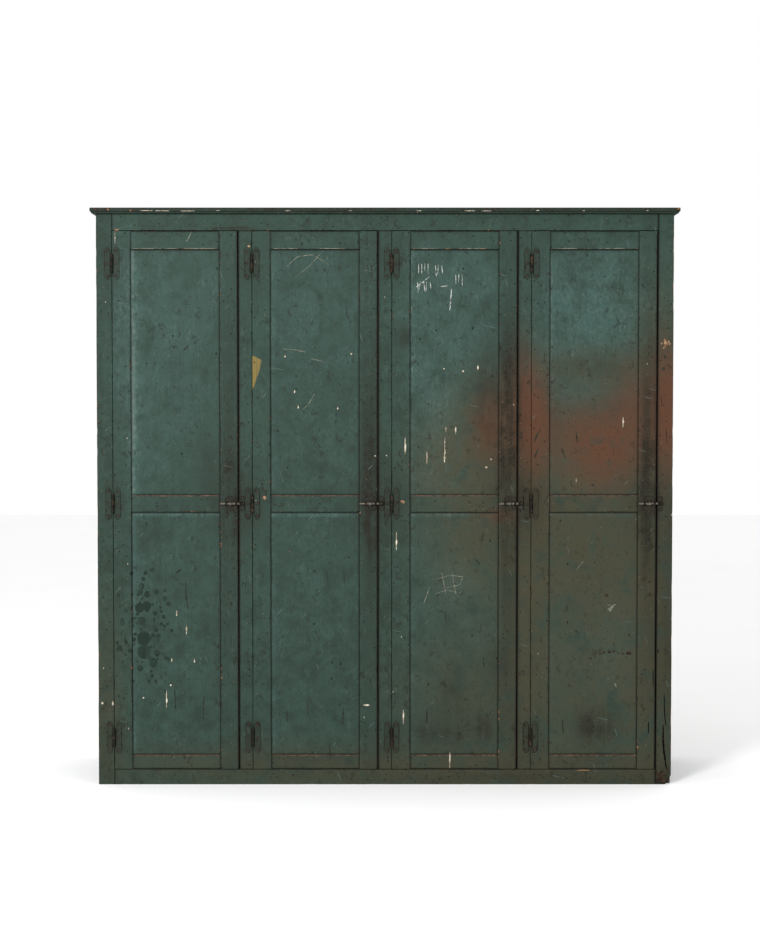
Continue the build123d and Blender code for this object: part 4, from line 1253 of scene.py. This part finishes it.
def lobed_plate(x, width, height, corner, lift, screws):
    """A flat plate, a stack of level rows whose half width at height v is w - c + sqrt(c^2 - d^2)
    where d is how far v is past the corner's centre; its edge is dished down like the leaves."""
    v = np.sin(np.linspace(-math.pi / 2, math.pi / 2, 41)) * height / 2
    past = np.clip(np.abs(v) - (height / 2 - corner), 0, corner * 0.9999)
    half_width = width / 2 - corner + np.sqrt(corner**2 - past**2) + 0.0002
    t = np.concatenate([[-1, -1], np.linspace(-0.96, 0.96, 17), [1, 1]])
    rise = np.array([0.0, 0.6] + [1.0] * 17 + [0.6, 0.0]) * lift
    px = x + half_width[:, None] * t
    pz = np.broadcast_to((bolt_height + v)[:, None], px.shape)
    py = front - np.broadcast_to(rise, px.shape)
    flat, faces = tube(np.stack([px, py, pz], axis=-1))
    marks = np.zeros((len(flat), 4))
    edge = (half_width[:, None] * (1 - np.abs(t[None, :]))).ravel()
    edge = np.minimum(edge, height / 2 - np.abs(flat[:, Z] - bolt_height))
    marks[:, 0] = np.exp(-edge / 0.0018)
    for across, up in screws:
        gap = np.hypot(flat[:, X] - x - across, flat[:, Z] - bolt_height - up)
        marks[:, 0] = np.maximum(marks[:, 0], np.exp(-np.abs(gap - 0.0042) / 0.0025))
    # painted shade: a dark band on the plate under the rod
    shade_under_rod = np.exp(-((np.abs(flat[:, Z] - bolt_height) / 0.0065) ** 4))
    marks[:, 1] = 0.75 * shade_under_rod
    grain = front_grain(flat, 0.4)
    return flat, faces, marks, grain


def arch_strap(x, length, bore, thick=0.0015):
    """A strap over the rod: an upright-sided arch given by its inner and outer line, the ring
    going up the outside and back down the inside, carried along the rod with eased ends."""
    turn = np.linspace(0, math.pi, 13)
    outer, legs = bore + thick, ROD_OUT - BOLT_THICK
    ease = 0.0005
    s = np.array([-1, -1, -0.9, -0.5, 0, 0.5, 0.9, 1, 1]) * length / 2
    shrink = np.array([ease, ease * 0.3, 0, 0, 0, 0, 0, ease * 0.3, ease])[:, None]
    out_z, out_y = (outer - shrink) * np.cos(turn), (outer - shrink) * np.sin(turn)
    in_z = np.broadcast_to(bore * np.cos(turn[::-1]), out_z.shape)
    in_y = np.broadcast_to(bore * np.sin(turn[::-1]), out_y.shape)
    foot = np.full((len(s), 1), -legs)
    ring_z = np.concatenate([out_z[:, :1], out_z, out_z[:, -1:], in_z[:, :1], in_z, in_z[:, -1:]], axis=1)
    ring_y = np.concatenate([foot, out_y, foot, foot, in_y, foot], axis=1)
    px = np.broadcast_to((x + s)[:, None], ring_z.shape)
    rings = np.stack([px, front - ROD_OUT - ring_y, bolt_height + ring_z], axis=-1)
    flat, faces = tube(rings)
    marks = np.zeros((len(flat), 4))
    top = np.clip((front - ROD_OUT - flat[:, Y]) / outer, 0, 1)
    marks[:, 0] = 0.55 + 0.6 * top
    grain = front_grain(flat, 0.6)
    return flat, faces, marks, grain


# hands keep the rods and knobs rubbed down to grey metal along their fronts
rubbed_iron = rusted_iron("rubbed_iron", 0.62)
bolt_screws = [(a, u) for a in (-BOLT_ACROSS, BOLT_ACROSS) for u in (-BOLT_UP, BOLT_UP)]
keepers = []
for i in range(4):
    body = "door_" + str(i + 1)
    x = plate_centres[i]
    parts = [lobed_plate(x, PLATE_WIDTH, PLATE_HEIGHT, 0.014, BOLT_THICK, bolt_screws)]
    for along in (-0.0165, 0.0165):
        parts.append(arch_strap(x + along, 0.007, ROD + 0.0001))
    fit(assembled(body + "_bolt_back_plate", parts), body + "_bolt_plate", plate_paint, body)

    keeper_x = keeper_centres[i]
    keeper_screws = [(0, KEEPER_UP), (0, -KEEPER_UP)]
    keepers.append(lobed_plate(keeper_x, KEEPER_WIDTH, PLATE_HEIGHT, 0.0075, BOLT_THICK, keeper_screws))
    keepers.append(arch_strap(keeper_x, 0.012, ROD + 0.0004))

    rod_low, rod_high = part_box(body + "_bolt_rod")
    length = rod_high.x - rod_low.x
    rod_profile = [(0, 0.0006), (0.0001, ROD - 0.001), (0.001, ROD - 0.00005), (0.004, ROD),
                   (length / 2, ROD),
                   (length - 0.004, ROD), (length - 0.001, ROD - 0.0001),
                   (length - 0.0001, ROD - 0.0012), (length, 0.0006)]
    rod = turned(rod_profile, (rod_low.x, front - ROD_OUT, bolt_height), X, 28, 3)
    rod[2][:, 0] = 0.1 + 1.1 * np.clip((front - ROD_OUT - rod[0][:, Y]) / ROD, 0, 1)
    # painted shade: the half of the rod that faces the plate is darkened
    rod[2][:, 1] = 0.5 * np.clip((rod[0][:, Y] - (front - ROD_OUT)) / ROD, 0, 1)
    knob_out = front - rod_low.y
    ball, neck = 0.0048, 0.0025
    turn = np.linspace(-0.95, math.pi / 2, 12)
    profile = [(-(ROD_OUT + 0.001), neck), (-(knob_out - 2 * ball - 0.0008), neck)]
    profile += [(-(knob_out - ball + ball * math.sin(a)), max(ball * math.cos(a), 0.0002)) for a in turn]
    knob = turned(profile, (x - 0.002, front, bolt_height), Y, 28, 2)
    knob[2][:, 0] = 1.3
    fit(assembled("bolt_" + str(i + 1) + "_rod", [rod, knob]), body + "_bolt_rod", rubbed_iron,
        "bolt_" + str(i + 1))
fit(assembled("bolt_keeper_plates", keepers), "bolt_keepers", plate_paint, "cabinet")

# ---------------------------------------------------------------------------------------------
# Drips, chalk, chips and nails. Runs and splashes of cream paint dried on the doors, a few
# chalk tallies, bare chips, cracks in the right stile, and the heads of the nails in the frame.
# Each is a very thin raised or filled-in shape on the face of its board.
# ---------------------------------------------------------------------------------------------


def spill(name, dark, light, breaks, relief_scale=300.0, gloss=0.12):
    """A thin layer of something on the paint: two tones in a fine mottle, broken where thin."""
    f = Finish(name)
    place = f.place()
    fine = f.cloud(place, relief_scale, 4.0, 0.6)
    coarse = f.cloud(place, 70.0, 3.0, 0.6)
    tone = f.added(coarse, 0.5, f.times(fine, 0.5))
    colour = f.mix(f.step(tone, 0.50 - breaks, 0.50 + breaks), dark, light)
    return f.surface(colour, f.added(fine, 0.2, 0.55), fine, 0.0002, gloss)


cream_paint = spill("cream_paint", (0.20, 0.16, 0.11), (0.52, 0.47, 0.38), 0.08)
chalk = spill("chalk", (0.045, 0.075, 0.062), (0.42, 0.42, 0.39), 0.06, 620.0)
scrape = spill("scrape", (0.042, 0.060, 0.046), (0.190, 0.180, 0.135), 0.08, 620.0)
bare_chip = spill("bare_chip", (0.070, 0.032, 0.014), (0.290, 0.185, 0.110), 0.12)
# near-black for the inside of a split: painted shade
crack_shade = spill("crack_shade", (0.0015, 0.0012, 0.0010), (0.0050, 0.0036, 0.0025), 0.10, 300.0, 0.02)
rust_spot = spill("rust_spot", (0.0040, 0.0030, 0.0022), (0.0380, 0.0190, 0.0095), 0.08)
dark_streak = spill("dark_streak", (0.0080, 0.0085, 0.0060), (0.0210, 0.0260, 0.0180), 0.10)
# worn paint on the ledges under the panels, its lighter tone partly a painted highlight
ledge_wear_and_highlight = spill("ledge_wear_and_highlight", (0.0220, 0.0180, 0.0120), (0.0850, 0.0560, 0.0400), 0.10, 160.0)
nail_rust = spill("nail_rust", (0.008, 0.006, 0.004), (0.040, 0.020, 0.009), 0.10)


def stroke(path, width, face, lift=0.0003, taper=0.6, seed=0):
    """A flat-bottomed ridge along a line of (x, z) points on the face at depth `face`: its half
    width follows sin(pi t)^taper, and it wanders a little; its section is a low arch."""
    path = np.array(path, float)
    steps = np.concatenate([[0], np.cumsum(np.hypot(*np.diff(path, axis=0).T))])
    count = max(8, min(60, int(steps[-1] / 0.003)))
    s = np.linspace(0, steps[-1], count)
    line = np.stack([np.interp(s, steps, path[:, 0]), np.interp(s, steps, path[:, 1])], axis=1)
    tangent = np.gradient(line, axis=0)
    tangent /= np.maximum(np.linalg.norm(tangent, axis=1, keepdims=True), 1e-9)
    normal = np.stack([-tangent[:, 1], tangent[:, 0]], axis=1)
    t = np.linspace(0, 1, count)
    half = width / 2 * np.maximum(np.sin(math.pi * np.clip(t, 0.004, 0.996)), 0) ** taper
    half = half * (1 + 0.25 * wander(s + seed, seed + 3, 0.007))
    line = line + normal * (0.12 * width * wander(s + seed, seed + 4, 0.012))[:, None]
    across = np.linspace(-1, 1, 7)
    arch = np.append(lift * (1 - across**2) + 0.00008, [-0.0002, -0.0002])
    across = np.append(across, [1, -1])
    rings = np.zeros((count, len(across), 3))
    rings[..., X] = line[:, :1] + normal[:, :1] * half[:, None] * across
    rings[..., Z] = line[:, 1:] + normal[:, 1:] * half[:, None] * across
    rings[..., Y] = face - arch
    flat, faces = tube(rings)
    grain = front_grain(flat, 0.1)
    return flat, faces, np.zeros((len(flat), 4)), grain


def lay_on(parts, finish, name, body):
    """One loose piece of all the strokes, riding on the body whose face they lie on."""
    piece = assembled(name, parts)
    piece.data.materials.append(finish)
    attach(piece, body)


FACE = front
PANEL_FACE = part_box("door_1_upper_panel")[0].y

# upright runs: (x, top, length, width)
runs = {
    "cabinet": [(-0.9495, 0.2800, 0.010, 0.007), (-0.914, 0.282, 0.016, 0.006)],
    "door_1": [(-0.898, 1.853, 0.042, 0.003)],
    "door_1_panel": [(-0.734, 0.318, 0.062, 0.005), (-0.666, 0.535, 0.031, 0.005),
                     (-0.699, 0.587, 0.020, 0.004),
                     (-0.640, 0.424, 0.014, 0.004), (-0.716, 0.425, 0.012, 0.004)],
    "door_2_panel": [(-0.158, 1.270, 0.010, 0.004), (-0.290, 1.275, 0.012, 0.004)],
    "door_3": [(0.0675, 1.168, 0.057, 0.0055), (0.0385, 0.851, 0.062, 0.005), (0.062, 0.252, 0.050, 0.005),
               (0.2185, 0.108, 0.054, 0.005)],
    "door_3_panel": [(0.2005, 1.168, 0.088, 0.0035), (0.1995, 1.116, 0.035, 0.0065),
                     (0.2040, 1.204, 0.019, 0.0040),
                     (0.2365, 1.203, 0.027, 0.0050), (0.1405, 1.119, 0.041, 0.0055),
                     (0.3105, 1.408, 0.018, 0.0060)],
    "door_4_panel": [(0.796, 1.236, 0.036, 0.005), (0.640, 1.030, 0.014, 0.004)],
}
# a few chalk tallies and underlines, high on the third door
tallies = []
TALLY_ROWS = [(0.112, 1.748, 4), (0.168, 1.742, 3), (0.108, 1.688, 5), (0.236, 1.712, 3)]
for row, (start, top, count) in enumerate(TALLY_ROWS):
    for k in range(count):
        x = start + 0.0105 * k
        lean = 0.004 * math.sin(3.1 * k + row)
        tallies.append(([(x, top), (x + lean, top - 0.034 - 0.006 * math.sin(2.3 * k + row))], 0.0026))
tallies.append(([(0.104, 1.668), (0.150, 1.704)], 0.0032))
tallies.append(([(0.186, 1.670), (0.214, 1.673)], 0.0026))
tallies.append(([(0.222, 1.664), (0.219, 1.620), (0.216, 1.590)], 0.0040))

# pale scratches: (points, width)
scratches = {
    "door_1": [([(-0.643, 1.852), (-0.660, 1.817)], 0.0022)],
    "door_2_panel": [([(-0.340, 1.462), (-0.295, 1.459), (-0.262, 1.451)], 0.0026),
                     ([(-0.247, 1.430), (-0.215, 1.423), (-0.200, 1.417)], 0.0020),
                     ([(-0.274, 1.259), (-0.255, 1.280), (-0.234, 1.312)], 0.0020),
                     ([(-0.330, 1.735), (-0.290, 1.770), (-0.240, 1.776), (-0.190, 1.745)], 0.0020),
                     ([(-0.300, 1.700), (-0.255, 1.735), (-0.205, 1.790)], 0.0018)],
    "door_3_panel": [([(0.170, 0.690), (0.215, 0.705), (0.262, 0.700), (0.250, 0.672),
                       (0.190, 0.660)], 0.0022),
                     ([(0.190, 0.715), (0.205, 0.640)], 0.0020), ([(0.225, 0.712), (0.238, 0.640)], 0.0020),
                     ([(0.165, 0.640), (0.205, 0.655), (0.255, 0.645)], 0.0020),
                     ([(0.130, 0.610), (0.142, 0.640), (0.150, 0.668)], 0.0024)],
    "door_4_panel": [([(0.748, 0.589), (0.760, 0.596), (0.774, 0.607)], 0.0080),
                     ([(0.752, 0.584), (0.763, 0.590)], 0.0060),
                     ([(0.745, 0.606), (0.757, 0.604)], 0.0030), ([(0.772, 0.340), (0.779, 0.326)], 0.0060),
                     ([(0.640, 0.720), (0.668, 0.756)], 0.0016)],
}
# splashes and specks: (x, z, width, height)
splashes = {
    "door_2": [(-0.065, 0.268, 0.026, 0.006), (-0.0330, 1.1055, 0.005, 0.004)],
    "cabinet": [(0.0050, 1.107, 0.005, 0.004)],
    "door_2_panel": [(-0.334, 1.437, 0.006, 0.008), (-0.113, 1.446, 0.006, 0.006),
                     (-0.302, 1.320, 0.004, 0.010)],
    "door_3_panel": [(0.355, 1.094, 0.006, 0.007), (0.339, 1.067, 0.007, 0.006),
                     (0.261, 1.388, 0.005, 0.008),
                     (0.197, 1.396, 0.005, 0.005)],
    "door_1_panel": [(-0.812, 0.292, 0.006, 0.006), (-0.720, 0.334, 0.005, 0.007)],
}
# chips down to the wood: (points, width)
chips = {
    "cabinet": [([(0.930, 1.496), (0.938, 1.478), (0.929, 1.462)], 0.010),
                ([(0.943, 1.490), (0.950, 1.476)], 0.007),
                ([(0.921, 1.484), (0.925, 1.476)], 0.006), ([(-0.899, 1.858), (-0.885, 1.857)], 0.007),
                ([(-0.454, 1.807), (-0.452, 1.800)], 0.008), ([(-0.4505, 1.724), (-0.4500, 1.719)], 0.006),
                ([(0.640, 0.0475), (0.690, 0.0480)], 0.0030)],
    "door_2": [([(-0.409, 0.969), (-0.398, 0.962)], 0.012)],
    "door_3": [([(0.052, 0.953), (0.066, 0.950)], 0.010)],
}
chip_rows = []
for k in range(9):
    x = 0.690 + 0.0155 * k
    z = 0.424 + 0.024 * math.sin(math.pi * min(k / 6.5, 1.0) * 0.75)
    chip_rows.append(([(x - 0.004, z), (x + 0.005, z + 0.003 * math.sin(4 * k))],
                      0.0065 + 0.0030 * math.sin(5 * k)))
chip_rows.append(([(0.812, 0.447), (0.826, 0.438)], 0.0085))
chip_rows.append(([(0.742, 0.640), (0.748, 0.634)], 0.0080))
# soft brown wood where the right stile's foot has rotted
rot = [([(0.913, 0.012), (0.930, 0.024), (0.944, 0.038)], 0.012), ([(0.920, 0.030), (0.936, 0.046)], 0.007),
       ([(0.932, 0.008), (0.943, 0.018)], 0.010), ([(0.914, 0.046), (0.916, 0.030)], 0.005),
       ([(0.948, 0.042), (0.953, 0.056)], 0.006)]
# dark dry streaks and knocks in the paint of the panels: (points, width)
streaks = {
    "door_1_panel": [([(-0.655, 1.475), (-0.672, 1.458)], 0.0040),
                     ([(-0.700, 0.712), (-0.682, 0.726)], 0.0050),
                     ([(-0.667, 0.690), (-0.668, 0.640), (-0.660, 0.590)], 0.0035),
                     ([(-0.560, 0.860), (-0.553, 0.880)], 0.0040),
                     ([(-0.707, 0.330), (-0.704, 0.255)], 0.0030),
                     ([(-0.608, 0.300), (-0.612, 0.220)], 0.0030)],
    "door_3_panel": [([(0.300, 0.760), (0.318, 0.742)], 0.0050),
                     ([(0.140, 0.250), (0.142, 0.205)], 0.0045), ([(0.330, 0.430), (0.334, 0.395)], 0.0040),
                     ([(0.262, 0.290), (0.280, 0.282)], 0.0050)],
    "door_4_panel": [([(0.640, 1.185), (0.642, 1.150)], 0.0045), ([(0.672, 0.955), (0.674, 0.915)], 0.0050),
                     ([(0.590, 1.130), (0.602, 1.105)], 0.0040), ([(0.690, 1.010), (0.702, 1.004)], 0.0050),
                     ([(0.596, 0.220), (0.600, 0.170)], 0.0045)],
    "door_2_panel": [([(-0.140, 0.260), (-0.143, 0.200)], 0.0040),
                     ([(-0.330, 0.250), (-0.328, 0.210)], 0.0035)],
    "door_1": [([(-0.560, 1.845), (-0.546, 1.838)], 0.0060)],
    "door_4": [([(0.498, 1.150), (0.515, 1.190)], 0.0050), ([(0.500, 1.100), (0.512, 1.130)], 0.0045)],
    "cabinet": [([(-0.560, 1.8640), (-0.470, 1.8645)], 0.0040),
                ([(-0.500, 1.8660), (-0.455, 1.8650)], 0.0055),
                ([(0.925, 1.400), (0.932, 1.392)], 0.0090), ([(0.930, 1.440), (0.936, 1.432)], 0.0080)],
}
# splits along the grain, their dark insides drawn as near-black strips, painted shade in each split:
# (points, width)
cracks = {
    "cabinet": [([(0.9375, 0.306), (0.9385, 0.262), (0.9395, 0.238), (0.9440, 0.196)], 0.0040),
                ([(0.9345, 0.203), (0.9350, 0.180), (0.9360, 0.140), (0.9400, 0.096),
                  (0.9470, 0.052)], 0.0060),
                ([(0.9165, 0.458), (0.9165, 0.442)], 0.0030)],
    "door_4": [([(0.9000, 0.390), (0.9005, 0.330)], 0.0030), ([(0.8850, 0.212), (0.8855, 0.172)], 0.0036)],
}
# cream paint left along the nose of the cornice: (start, end, height)
nose_lines = [(-0.812, -0.770, 1.9195), (-0.762, -0.714, 1.9190), (-0.679, -0.630, 1.9185),
              (-0.560, -0.548, 1.9200),
              (-0.330, -0.312, 1.9190), (-0.120, -0.108, 1.9195), (0.105, 0.122, 1.9190),
              (0.262, 0.300, 1.9190),
              (0.318, 0.352, 1.9185), (0.500, 0.512, 1.9200), (0.655, 0.664, 1.9190), (0.868, 0.874, 1.9195)]


def by_place(groups, make):
    """Strokes gathered by the body they lie on; a name ending in _panel lies on the panel face."""
    gathered = {}
    for place, items in groups.items():
        face = PANEL_FACE if place.endswith("_panel") else FACE
        body = place.replace("_panel", "")
        gathered.setdefault(body, []).extend(make(item, face, k) for k, item in enumerate(items))
    return gathered


def run_down(item, face, k):
    """The thin upper part of a run of paint."""
    x, top, length, width = item
    return stroke([(x, top), (x - 0.0006, top - length / 2), (x, top - length)], 0.55 * width, face,
                  0.0006, 0.35, k)


def bead(item, face, k):
    """The thicker part where a run of paint has gathered."""
    x, top, length, width = item
    start, end = 0.25 + 0.20 * math.sin(7 * k + x * 40), 0.75 + 0.20 * math.sin(5 * k + x * 30)
    return stroke([(x + 0.0004, top - start * length), (x, top - end * length)], width, face,
                  0.0008, 0.45, k + 9)


def blob(item, face, k):
    """A single speck, or the head of a nail."""
    x, z, width, height = item
    return stroke([(x, z + height / 2), (x, z - height / 2)], width, face, 0.0005, 0.5, k)


def line(item, face, k):
    """A stroke through the given points."""
    return stroke(item[0], item[1], face, 0.0002, 0.3, k)


def drawn(items, face, first=0):
    """The strokes of one list, all on one face."""
    return [line(item, face, k + first) for k, item in enumerate(items)]


cream = by_place(runs, run_down)
for groups, make in ((runs, bead), (splashes, blob)):
    for body, parts in by_place(groups, make).items():
        cream.setdefault(body, []).extend(parts)
for body, parts in cream.items():
    lay_on(parts, cream_paint, body + "_cream_drips", body)
for body, parts in by_place(scratches, line).items():
    lay_on(parts, scrape, body + "_scratches", body)
nose_face = front - OVERHANG
nose_strokes = [stroke([(a, z), (b, z)], 0.0017, nose_face, 0.0003, 0.25, k) for k,
                (a, b, z) in enumerate(nose_lines)]
lay_on(nose_strokes, cream_paint, "cornice_cream_lines", "cabinet")
lay_on(drawn(tallies, PANEL_FACE), chalk, "door_3_chalk_tallies", "door_3")
for body, parts in by_place(chips, line).items():
    lay_on(parts, bare_chip, body + "_bare_chips", body)
lay_on(drawn(chip_rows, PANEL_FACE), rust_spot, "door_4_rust_spots", "door_4")
lay_on(drawn(rot, FACE), rust_spot, "stile_foot_rot", "cabinet")
for door in (1, 2, 3, 4):
    body = "door_" + str(door)
    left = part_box(body + "_hinge_stile")[1].x + 0.006
    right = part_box(body + "_lock_stile")[0].x - 0.006
    ledge_heights = [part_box(body + "_" + which + "_panel")[0].z + 0.0055 for which in ("lower", "upper")]
    top_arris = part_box(body + "_upper_panel")[1].z - 0.0060
    # a pinkish-brown line along the ledge under each panel: worn paint, and a painted highlight where the
    # upward-facing ledge catches the light
    lit_worn_ledge_lines = [([(left, z), (right, z + 0.0004)], 0.0040) for z in ledge_heights]
    lay_on(drawn(lit_worn_ledge_lines, FACE, door), ledge_wear_and_highlight, body + "_lit_worn_ledges", body)
    pieces_of_line = ((0.00, 0.34), (0.38, 0.52), (0.60, 0.98)) if door == 1 else ((0.02, 0.30),
                                                                                   (0.55, 0.86))
    arris_lines = [([(left + (right - left) * a, top_arris), (left + (right - left) * b, top_arris)], 0.0021)
                   for a, b in pieces_of_line]
    lay_on(drawn(arris_lines, FACE, door), scrape, body + "_rubbed_arris", body)
for body, parts in by_place(streaks, line).items():
    lay_on(parts, dark_streak, body + "_dark_streaks", body)
for body, parts in by_place(cracks, line).items():
    # the cracks, drawn as painted shade
    lay_on(parts, crack_shade, body + "_cracks", body)

nails = []
for x in (carcass[0].x + 0.016, carcass[0].x + 0.038, carcass[1].x - 0.018, carcass[1].x - 0.038):
    for z in (0.024, 0.35, 0.75, 1.22, 1.58, 1.885):
        nails.append((x + 0.004 * math.sin(40 * z), z, 0.0042, 0.0042))
for mullion_low, mullion_high in mullions:
    x = (mullion_low.x + mullion_high.x) / 2
    for z in (0.018, 0.034, 0.44, 0.70, 1.30, 1.62, 1.872, 1.892):
        nails.append((x + 0.006 * math.sin(31 * z), z, 0.0040, 0.0040))
for k in range(9):
    nails.append((-0.78 + 0.19 * k, 1.884 + 0.008 * math.sin(3 * k), 0.0040, 0.0040))
    nails.append((-0.74 + 0.19 * k, 0.026 + 0.006 * math.sin(5 * k), 0.0040, 0.0040))
lay_on([blob(item, FACE, k) for k, item in enumerate(nails)], nail_rust, "frame_nail_heads", "cabinet")

# ---------------------------------------------------------------------------------------------
# Studio. A pale floor and a white surround, one large soft lamp high on the left and a weak
# one on the right, and a long lens a little above the middle of the cabinet.
# ---------------------------------------------------------------------------------------------

scene = bpy.context.scene
scene.view_settings.view_transform = "Standard"
world = bpy.data.worlds.new("surround")
world.use_nodes = True
world.node_tree.nodes["Background"].inputs["Color"].default_value = (1.0, 1.0, 1.0, 1.0)
world.node_tree.nodes["Background"].inputs["Strength"].default_value = 1.0
scene.world = world

FLOOR = 14.0
floor_mesh = bpy.data.meshes.new("studio_floor")
floor_mesh.from_pydata([(-FLOOR, -FLOOR, 0), (FLOOR, -FLOOR, 0), (FLOOR, FLOOR, 0), (-FLOOR, FLOOR, 0)],
                       [], [(0, 1, 2, 3)])
floor = bpy.data.objects.new("studio_floor", floor_mesh)
scene.collection.objects.link(floor)
floor_finish = Finish("studio_floor")
floor_tone = floor_finish.cloud(floor_finish.place(), 1.5, 2.0)
floor_colour = floor_finish.mix(floor_tone, (0.93, 0.93, 0.93), (0.96, 0.96, 0.96))
floor_mesh.materials.append(floor_finish.surface(floor_colour, 0.9, floor_tone, 0.0002, 0.1))


def lamp(name, place, aim, size, power):
    light = bpy.data.lights.new(name, "AREA")
    light.size = size
    light.energy = power
    holder = bpy.data.objects.new(name, light)
    holder.location = place
    direction = Vector(aim) - Vector(place)
    holder.rotation_euler = direction.to_track_quat("-Z", "Y").to_euler()
    scene.collection.objects.link(holder)


lamp("soft_key", (-2.3, -5.4, 2.9), (0.1, 0.0, 0.9), 1.2, 278.0)
lamp("soft_fill", (3.2, -4.2, 1.6), (0.0, 0.0, 0.9), 2.0, 30.0)

CAMERA_BACK = 6.2
TILT = math.radians(2.2)
camera = bpy.data.cameras.new("camera")
camera.lens = 71.40
view = bpy.data.objects.new("camera", camera)
view.location = (-0.0165, front - CAMERA_BACK, 1.0650 + CAMERA_BACK * math.tan(TILT))
view.rotation_euler = (math.pi / 2 - TILT, 0, 0)
scene.collection.objects.link(view)
scene.camera = view
